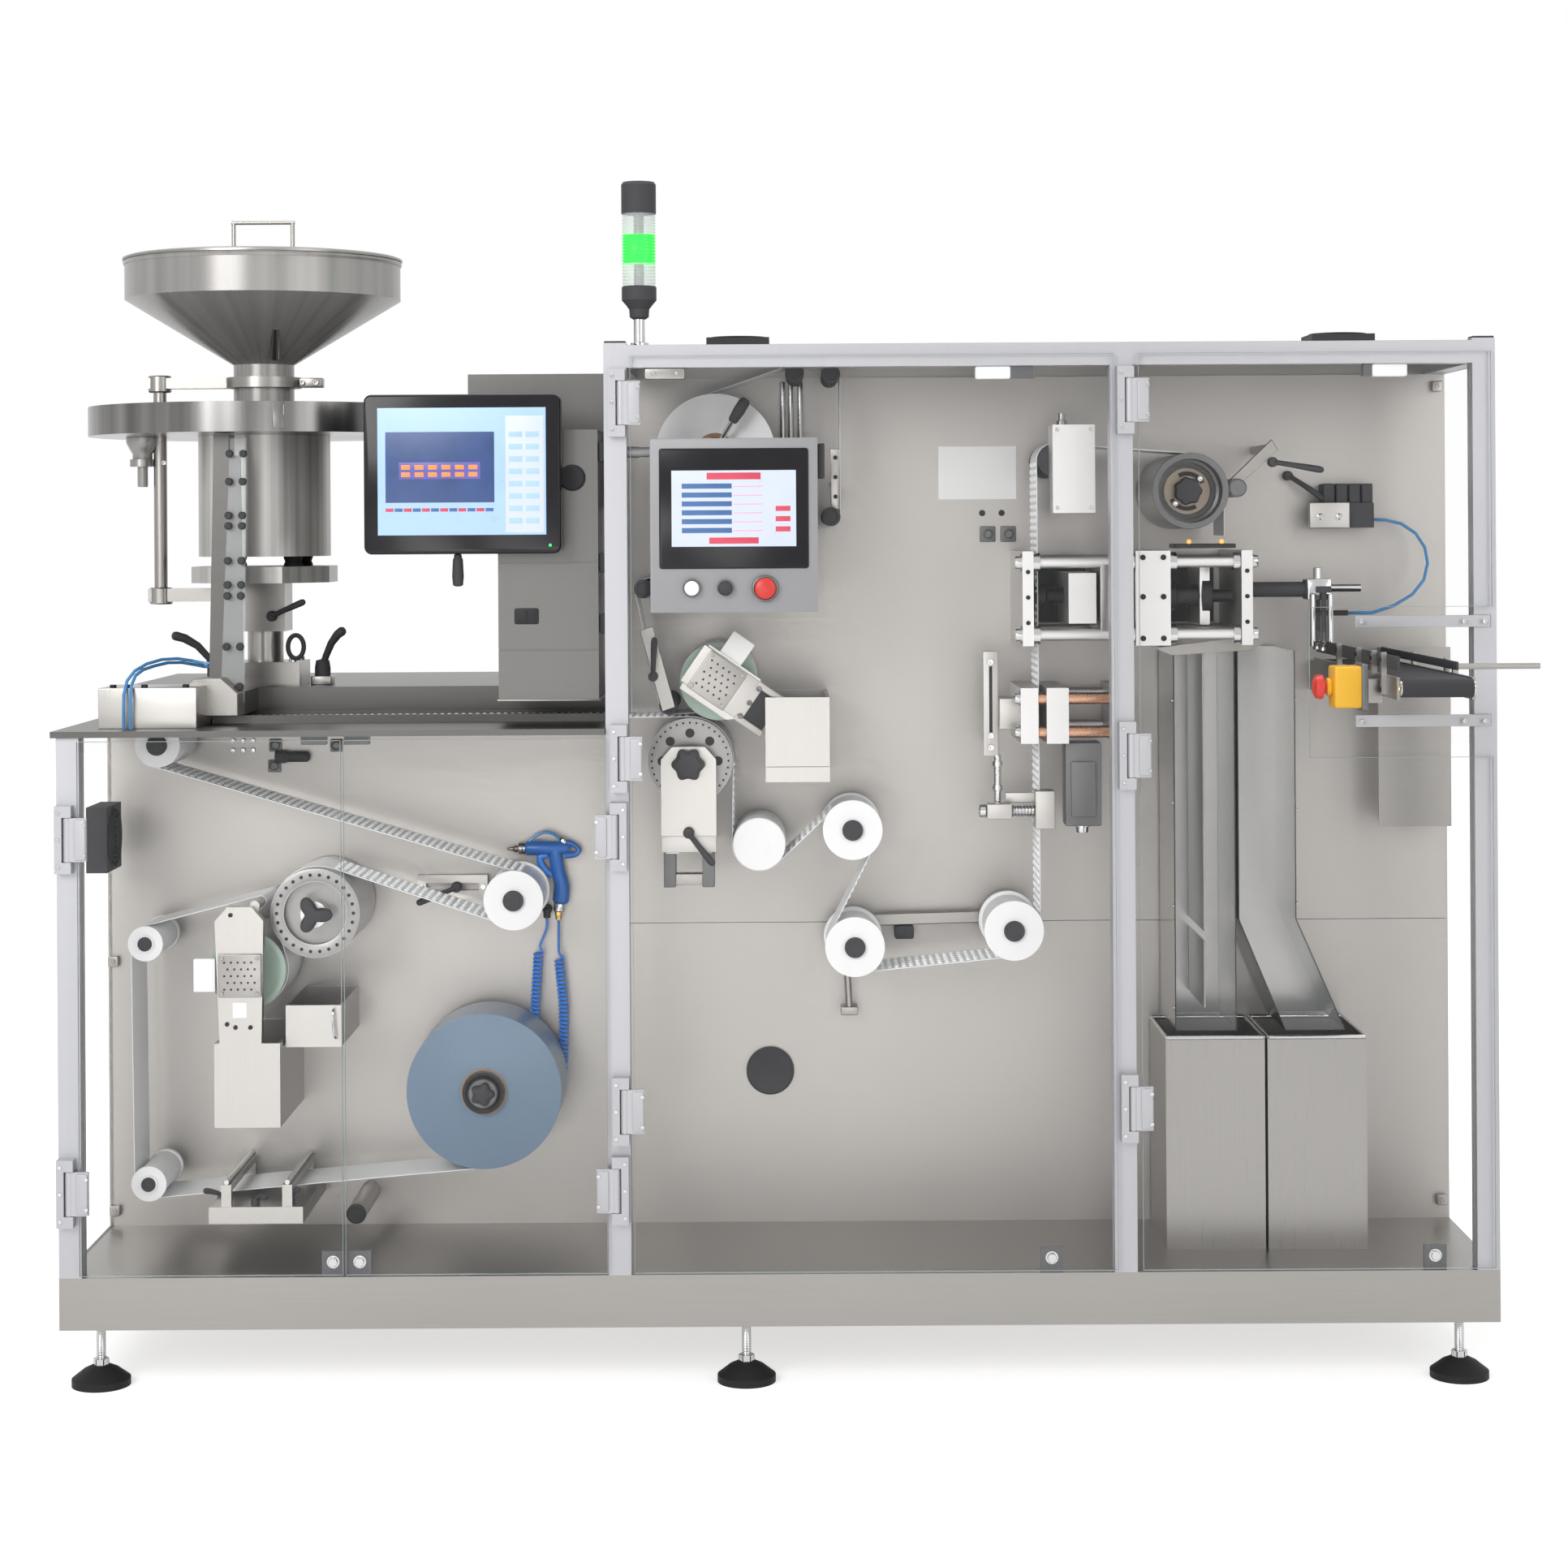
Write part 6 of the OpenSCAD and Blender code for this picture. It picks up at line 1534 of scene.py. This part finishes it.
@dataclass
class SealingBay:
    """Sealing arm, sealing heater, foil guides and dancer details."""

    arm_front: float = 150.0
    tilt: float = 34.8

    def arm(self) -> None:
        """Star knob, lever, legs, foot and apron on the sealing arm."""
        y = self.arm_front
        knob = lobed([(12, 0), (13, 6), (25, 8), (28, 14), (27, 24), (20, 29), (6, 30)], 6, 0.10, (1110, y, 1092),
                     Axis.FRONT)
        piece("seal_arm_knob", knob, BLACK)
        piece("seal_arm_lever", lever((1110, y, 968), (1156, y - 30, 912), Axis.FRONT, 10, 18, 6.5), BLACK)
        piece("seal_arm_legs", [slab((x, x + 22), (154, 200), (868, 931), 1.2, 2) for x in (1064.0, 1134.0)], GREY_RING)
        piece("seal_arm_foot", slab((1084, 1136), (158, 190), (872, 892), 1, 2), STEEL)
        # The apron takes the lighter steel copy: painted light.
        piece("seal_arm_apron", slab((1060, 1160), (149.2, 168), (932, 962), 1, 1.5), STEEL_PAINTED_LIGHT)

    def heater(self) -> None:
        """Tilted perforated cover, face, link, card and green roll rim at the sealing heater, and the foil arm."""
        cover, holes = perforated((1163, 1244), 80, 137, self.tilt)
        piece("seal_cover", cover, STEEL)
        # Dark dots: painted shade in the cover's holes.
        piece("seal_cover_hole_shade", holes, DARK)
        middle = (1165, 143, 1240)
        # The face takes the lighter steel copy: painted light.
        piece("seal_face", slab((1106, 1238), (141, 145.4), (1204, 1284), 1, 2).turned(self.tilt, middle), STEEL_PAINTED_LIGHT)
        piece("seal_link", slab((1237, 1279), (142.5, 145.4), (1212, 1274), 0.4, 1).turned(self.tilt, middle), DARK)
        rails = [slab((1225, 1283), (138.5, 146), z, 0.8, 1).turned(self.tilt, middle)
                 for z in ((1201, 1213), (1273, 1285))]
        piece("seal_rails", rails, STEEL)
        bolts = [socket_screw((x, 141, z), Axis.FRONT, 5, 4)
                 for x, z in ((1239.0, 1228.0), (1221.5, 1203.0), (1205.0, 1179.0))]
        piece("seal_link_bolts", bolts, GREY_RING)
        piece("seal_box_seam", slab((1251.5, 1364.5), (129.4, 130.2), (1087, 1088.2), 0.1, 0.3), GREY_RING)
        arm = [slab((1372, 1391), (228, 236), (1552, 1664), 1, 3), rod((1381, 236, 1600), (1381, 399.6, 1600), 8)]
        # The foil arm takes the lighter steel copy: painted light.
        piece("foil_arm", arm, STEEL_PAINTED_LIGHT)
        dots = [socket_screw((1381, 228, z), Axis.FRONT, 4, 3) for z in (1576.0, 1612.0, 1648.0)]
        piece("foil_arm_screws", dots, DARK)
        card = slab((1176, 1222), (150, 153), (1275, 1325), 0.6, 2).turned(self.tilt, (1198, 151, 1300))
        piece("seal_card", card, PAPER)
        rim = lathe([(60, 0), (70.6, 0), (71.3, 1.5), (71.3, 3), (69, 4), (62, 4)], (1165, 195.2, 1240), Axis.FRONT, 64)
        piece("seal_roll_rim", rim, GREEN_COAT, "seal_roll_body")

    def guides(self) -> None:
        """End caps of the foil bars, upright rods and the slotted bracket with its lever."""
        for i, (x, z) in enumerate(((1307, 1803), (1373, 1800), (1372, 1539), (1028, 1409), (1073, 1196))):
            cap = lathe([(16.4, -6), (17.5, 0), (17, 3), (12, 4), (11, 2.5), (0.6, 2.5)], (x, 203, z), Axis.FRONT, 28)
            piece(f"foil_bar_cap_{i}", cap, BLACK)
        piece("foil_upright_rods", [rod((x, 392, 1560), (x, 392, 1795), 5) for x in (1285.0, 1300.0, 1318.0)], CHROME)
        piece("foil_bracket", plate([(1062, 1186), (1086, 1194), (1046, 1342), (1022, 1334)], (176, 184), 1), STEEL)
        piece("foil_bracket_lever", lever((1046, 176, 1250), (1050, 146, 1322), Axis.FRONT, 9, 16, 6), BLACK)

    def dancer(self) -> None:
        """Link bar, damper and stop behind the dancer roller."""
        piece("dancer_link", plate([(1448, 768), (1690, 774), (1690, 796), (1448, 790)], (366, 378), 1.5), STEEL)
        piece("dancer_pins", [rod((x, 372, 781), (x, 399.8, 781), 7) for x in (1462.0, 1674.0)], CHROME)
        piece("dancer_damper", slab((1490, 1526), (356, 392), (744, 768), 2, 5), BLACK)
        stop = joined([rod((1404, 372, 612), (1400, 372, 690), 6), slab((1388, 1420), (364, 400), (600, 616), 1.5, 3)])
        piece("dancer_stop", stop, STEEL)

    def build(self) -> None:
        """Adds the bay's pieces."""
        self.arm()
        self.heater()
        self.guides()
        self.dancer()


@dataclass
class PunchBay:
    """Punch, perforation, press roll, suction arm and valve details."""

    front: float = 120.0

    def punch(self) -> None:
        """Nuts, bushes, ram, die, press, guide, screws and lamps of the punch."""
        y, ties = 140.0, (1323.0, 1454.0)
        nuts = [hex_bolt((2130, y, z), Axis.X, 13, 12) for z in ties]
        nuts += [hex_bolt((1715, y, z), Axis.LEFT, 13, 12) for z in ties]
        piece("punch_nuts", nuts, CHROME)
        bush = ring([(11.3, 0), (17, 0), (17, 12), (11.3, 12)], (0, 0, 0), Axis.X, 28)
        places = [(x, y, z) for x in (1735.5, 1906.0, 1982.5, 2097.0) for z in ties]
        piece("punch_bushes", bush.repeated(places), CHROME)
        ram = lathe([(26, 0), (26, 14), (20, 16), (20, 60), (34, 62), (34, 78), (12, 80), (12, 118), (5, 118)],
                    (1984, 190, 1391), Axis.X, 40)
        piece("punch_ram", ram, DARK, slot="machined_steel")
        die = [slab((1856, 1874), (130, 330), (1330, 1452), 1.5, 3),
               slab((1890, 1918), (140, 320), (1344, 1438), 1.5, 3)]
        piece("punch_die", die, STEEL)
        screws = [socket_screw((x, self.front, z), Axis.FRONT, 5, 4) for x in (1932.0, 1969.0)
                  for z in (1316.0, 1391.0, 1462.0)]
        screws += [socket_screw((x, self.front, z), Axis.FRONT, 4, 3) for x in (1725.0, 2120.0)
                   for z in (1345.0, 1391.0, 1437.0)]
        piece("punch_screws", screws, DARK)
        lamps = [lathe([(4, 0), (4, 2), (1, 4)], (x, 118, 1490), Axis.FRONT, 16) for x in (2015.0, 2074.0)]
        piece("punch_lamps", lamps, LIT_AMBER)
        # Black blocks: painted shade in the plate's recesses behind the punch.
        recess_shade = [slab((1742, 1856), (386, 399.6), (1338, 1441), 1, 2),
                  slab((1986, 2098), (386, 399.6), (1338, 1441), 1, 2)]
        piece("punch_recess_shade", recess_shade, BLACK)
        press = lathe([(24, 0), (24, 20), (15, 24), (15, 62), (22, 66), (22, 88), (10, 92)], (1746, 250, 1391), Axis.X,
                      36)
        piece("punch_press", press, DARK, slot="machined_steel")
        piece("punch_guide", slab((2041, 2060), (170, 330), (1338, 1446), 1.2, 3), MACHINED)
        piece("punch_shelf", slab((1990, 2100), (120, 200), (1478, 1486), 1, 2, Axis.Z), DARK, slot="machined_steel")

    def perforation(self) -> None:
        """Copper sleeves, nuts, lower guide and clamp bar of the perforation unit."""
        piece("perforation_sleeves", [rod((1746, 170, z), (1884, 170, z), 11) for z in (1145.0, 1206.0)], COPPER)
        nuts = [hex_bolt((1713, 170, z), Axis.LEFT, 11, 9) for z in (1145.0, 1206.0)]
        nuts += [hex_bolt((1907, 170, z), Axis.X, 11, 9) for z in (1145.0, 1206.0)]
        piece("perforation_nuts", nuts, CHROME)
        guide = [slab((1796, 1862), (180, 240), (972, 1124.6), 2, 3), slab((1806, 1850), (172, 180), (990, 1090), 1, 2)]
        piece("perforation_guide", guide, GREY_RING)
        piece("perforation_bolt", hex_bolt((1829, 210, 972), Axis.DOWN, 12, 14), CHROME)
        self.web_clamp()

    def web_clamp(self) -> None:
        """Slotted bracket, threaded rod, jaws and spring of the clamp on the rising film."""
        steel = [slab((1651, 1679), (240, 252), (1096, 1290), 1.2, 3),
                 slab((1679, 1716), (216, 300), (1147, 1204), 1.5, 3), rod((1666, 252, 1120), (1666, 399.6, 1120), 7),
                 rod((1666, 252, 1270), (1666, 399.6, 1270), 7)]
        steel += [slab((1742, 1778), (190, 240), (966, 1036), 1.5, 3),
                  slab((1654, 1700), (196, 232), (984, 1012), 1.5, 3),
                  slab((1690, 1752), (226, 236), (1012, 1030), 1, 2)]
        # The clamp takes the lighter steel copy: painted light.
        piece("web_clamp", steel, STEEL_PAINTED_LIGHT)
        # Dark strip: painted shade in the bracket's slot.
        piece("web_clamp_slot_shade", slab((1662, 1668), (239.6, 240.4), (1140, 1262), 0.2, 0.2), DARK)
        x = np.linspace(0, 42, 43)
        ridges = np.stack([9 + 2.4 * np.abs(np.sin(x * math.pi / 6)), x], -1)
        spring = lathe([(2, 0), *map(tuple, ridges), (2, 42)], (1700, 214, 998), Axis.X, 24)
        thread = np.stack([6 + 0.8 * np.abs(np.sin(x * math.pi / 2.8)), x * 2.1], -1)
        stud = lathe([(2, 0), *map(tuple, thread), (2, 88.2)], (1677, 246, 1010), Axis.Z, 20)
        nuts = [hexed([(10, 0, 1), (10, 8, 1), (4, 8.6, 0)], (1677, 246, z), Axis.Z) for z in (1034.0, 1078.0)]
        screws = [socket_screw((1665, 240, z), Axis.FRONT, 6, 5) for z in (1112.0, 1134.0, 1270.0)]
        knob = lathe([(9, 0), (12, 2), (12, 12), (9, 14), (2, 14)], (1654, 214, 998), Axis.LEFT, 24)
        piece("web_clamp_fittings", [spring, stud, knob, *nuts, *screws], CHROME)

    def index(self) -> None:
        """Press roll on its slanted slotted plate, and two clamping levers."""
        piece("press_roll", lathe([(14, 0), (17, 2), (17, 200), (14, 202)], (2110, 160, 1587), Axis.Y, 32), GREY_RING)
        arm = plate([(2092, 1592), (2106, 1580), (2192, 1656), (2180, 1676)], (206, 216), 1.2)
        piece("press_arm", [arm, rod((2178, 212, 1660), (2178, 399.6, 1660), 8)], STEEL)
        levers = [lever((2180, 206, 1634), (2268, 168, 1618), Axis.FRONT, 9, 20, 6.5),
                  lever((2240, 399, 1612), (2312, 352, 1560), Axis.FRONT, 9, 24, 6.5)]
        piece("press_levers", levers, BLACK)

    def unit(self) -> None:
        """Lid screws and fitting on the small drive box."""
        screws = [socket_screw((x, 110, z), Axis.FRONT, 3.4, 2.4) for x in (1778.0, 1838.0) for z in (1552.0, 1693.0)]
        piece("unit_screws", screws, CHROME)
        top = hexed([(10, 0, 1), (10, 8, 1), (6, 9, 0), (6, 22, 0), (2, 22, 0)], (1790, 150, 1702), Axis.Z)
        piece("unit_fitting", top, STEEL)

    def suction(self) -> None:
        """Clamp blocks, rods and cups of the suction arm, and the valve's solenoids."""
        blocks = [slab((2248, 2292), (228, 272), (1380, 1420), 2, 4), rod((2290, 250, 1402), (2350, 250, 1402), 7),
                  rod((2270, 250, 1418), (2270, 250, 1440), 8)]
        piece("suction_blocks", blocks, CHROME)
        cups = [lathe([(10, 0), (9, 6), (6, 8), (9, 12), (5, 16), (5, 34)], (2276, 250 + d, 1288), Axis.Z, 24)
                for d in (-30, 30)]
        piece("suction_rods", [rod((x, 222, 1296), (x, 222, 1392), 5.5) for x in (2256.0, 2288.0)], CHROME)
        piece("suction_cups", cups, STEEL)
        coils = [slab((2300 + 24 * i, 2320 + 24 * i), (344, 396), (1560, 1596), 2, 3) for i in range(4)]
        piece("valve_coils", coils, BLACK)
        ports = lathe([(5, 0), (6, 1), (6, 5), (4, 6), (4, 8)], (0, 330, 1534), Axis.FRONT, 16)
        # The manifold takes the lighter steel copy: painted light.
        piece("valve_manifold", slab((2271, 2346), (330, 350), (1512, 1561), 2, 3), STEEL_PAINTED_LIGHT)
        piece("valve_ports", ports.repeated([(x, 0, 0) for x in (2290, 2326)]), CHROME)

    def build(self) -> None:
        """Adds the bay's pieces."""
        self.punch()
        self.perforation()
        self.index()
        self.unit()
        self.suction()


@dataclass
class Waste:
    """Rolled rims of the waste bins, and the screws, mouth and partition of the chutes."""

    bins_x: tuple[float, float] = (1973.0, 2158.0)
    bin_w: float = 180.0
    bin_y: Flat = (160.0, 390.0)
    rim_z: float = 589.0

    def rims(self) -> None:
        """Rolls the upper edge of both bins outwards."""
        rods = []
        for x in self.bins_x:
            (a, b), (c, d) = (x + 2, x + self.bin_w - 2), self.bin_y
            rods += [rod((a, y, self.rim_z), (b, y, self.rim_z), 4, 12) for y in (c + 0.5, d - 2)]
            rods += [rod((e, c, self.rim_z), (e, d, self.rim_z), 3.4, 12) for e in (a, b)]
        piece("bin_rims", rods, CHROME, slot="stainless_steel")

    def chutes(self) -> None:
        """Adds small screws on the chutes' sides, their mouth and their partition."""
        screws = [socket_screw((1993, 184, z), Axis.LEFT, 3, 3) for z in (640.0, 826.0, 1013.0, 1200.0)]
        screws += [socket_screw((2215, 184, z), Axis.X, 3, 3) for z in (829.0, 1000.0, 1200.0)]
        piece("chute_screws", screws, CHROME)
        strips = [slab((2046, 2049), (180, 380), (780, 1288), 0.6), slab((2046, 2049), (180, 380), (640, 762), 0.6)]
        mouth = [plate([(1962, 1296), (2150, 1318), (2150, 1300), (2128, 1292), (1990, 1284)], (168, 171), 0.8)]
        piece("chute_mouth", mouth, STEEL_UP)
        piece("chute_partition", strips, STEEL_UP)

    def build(self) -> None:
        """Adds the bins' and chutes' pieces."""
        self.rims()
        self.chutes()


@dataclass
class Outfeed:
    """Stop button box, guide strips, guard bars and roller caps of the outfeed belt."""

    def stop_box(self) -> None:
        """Yellow box with a red mushroom button facing the machine's left."""
        piece("stop_bracket", slab((2250, 2278), (-300, -260), (1222, 1262), 1, 2), STEEL)
        piece("stop_case", slab((2196, 2250), (-316, -252), (1214, 1284), 4, 8, Axis.X, 32), YELLOW)
        piece("stop_base", slab((2240, 2251), (-320, -248), (1210, 1288), 2, 6, Axis.X, 32), GREY_RING,
              slot="grey_housing")
        piece("stop_collar", lathe([(13, 0), (15, 2), (15, 8), (11, 10)], (2196, -284, 1249), Axis.LEFT, 28), YELLOW)
        mushroom = lathe([(11, 0), (11, 12), (20, 15), (21, 20), (19, 27), (12, 31), (2, 32)], (2196, -284, 1249),
                         Axis.LEFT, 36)
        piece("stop_button_outfeed", mushroom, RED)

    def guides(self) -> None:
        """Black guide strips on both sides of the belt with their screws, and the guard bars."""
        strips = [slab((2279.4, 2284), (-412, 320), (1282, 1304), 0.8, 1),
                  slab((2400, 2404.6), (-300, 320), (1276, 1290), 0.8, 1)]
        piece("guide_strips", strips, BLACK)
        piece("guide_stays", [slab((2404, 2412), (y, y + 12), (1240, 1292), 0.8, 1) for y in (-200.0, 60.0)], STEEL)
        screws = [socket_screw((2270, y + 6, z), Axis.LEFT, 4, 3) for y in (-330.0, -250.0, -120.0, 60.0)
                  for z in (1246.0, 1296.0)]
        piece("guide_screws", screws, DARK)
        steel = [slab((2290, 2528), (-5.6, -0.4), (z - 10.5, z + 10.5), 0.6, 1) for z in (1173.0, 1348.0)]
        piece("guard_bars", steel, HINGE)
        bars = [socket_screw((x, -6, z), Axis.FRONT, 4.2, 3) for x in (2300.0, 2480.0, 2516.0)
                for z in (1173.0, 1348.0)]
        piece("guard_bar_screws", joined(bars).moved((0, -6, 0)), CHROME)

    def belt_ends(self) -> None:
        """Roller end caps at the belt's front turn."""
        caps = [lathe([(13, 0), (13, 3), (10, 4), (4, 4), (3, 2), (0.5, 2)], (x, -420, 1253), axis, 28)
                for x, axis in ((2284.6, Axis.LEFT), (2399.4, Axis.X))]
        piece("belt_roller_caps", caps, CHROME)

    def build(self) -> None:
        """Adds the outfeed's pieces."""
        self.stop_box()
        self.guides()
        self.belt_ends()


@dataclass
class BackPanels:
    """Screws on the rear cover panels."""

    back: float = 923.0

    def build(self) -> None:
        """Adds a screw near each panel corner and halfway up."""
        wide = np.linspace(999 + 14, 2510 - 14, 9)[[0, 2, 4, 6, 8]]
        places = [(x, z) for x in wide for z in (260.0, 1020.0, 1790.0)]
        places += [(x, z) for x in (44.0, 503.0, 962.0) for z in (260.0, 1090.0)]
        screws = [lathe([(7, 0), (7, 2), (5, 3.4), (0.8, 3.6)], (x, self.back, z), Axis.Y, 18) for x, z in places]
        piece("cover_screws", screws, CHROME)


def dress_nodes() -> None:
    """Gives each solid of the frame its finish."""
    for name, finish in NODE_FINISH.items():
        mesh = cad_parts[name].data
        mesh.materials.clear()
        mesh.materials.append(finish.material())
        LOG.info("solid %s: %s", name, finish.name)


def main() -> None:
    """Builds the stage and every piece, and notes the sizes."""
    logging.basicConfig(level=logging.INFO, format="%(name)s: %(message)s")
    Stage().build()
    dress_nodes()
    for group in (FrameTrim(), Fans(), Feeder(), Hood(), Rollers(), ControlPanel(), Monitor(), StackLight(),
                  FilmPath(), FormingBay(), CoilHose(), SealingBay(), PunchBay(), Waste(), Outfeed(), BackPanels()):
        group.build()


if __name__ == "__main__":
    main()
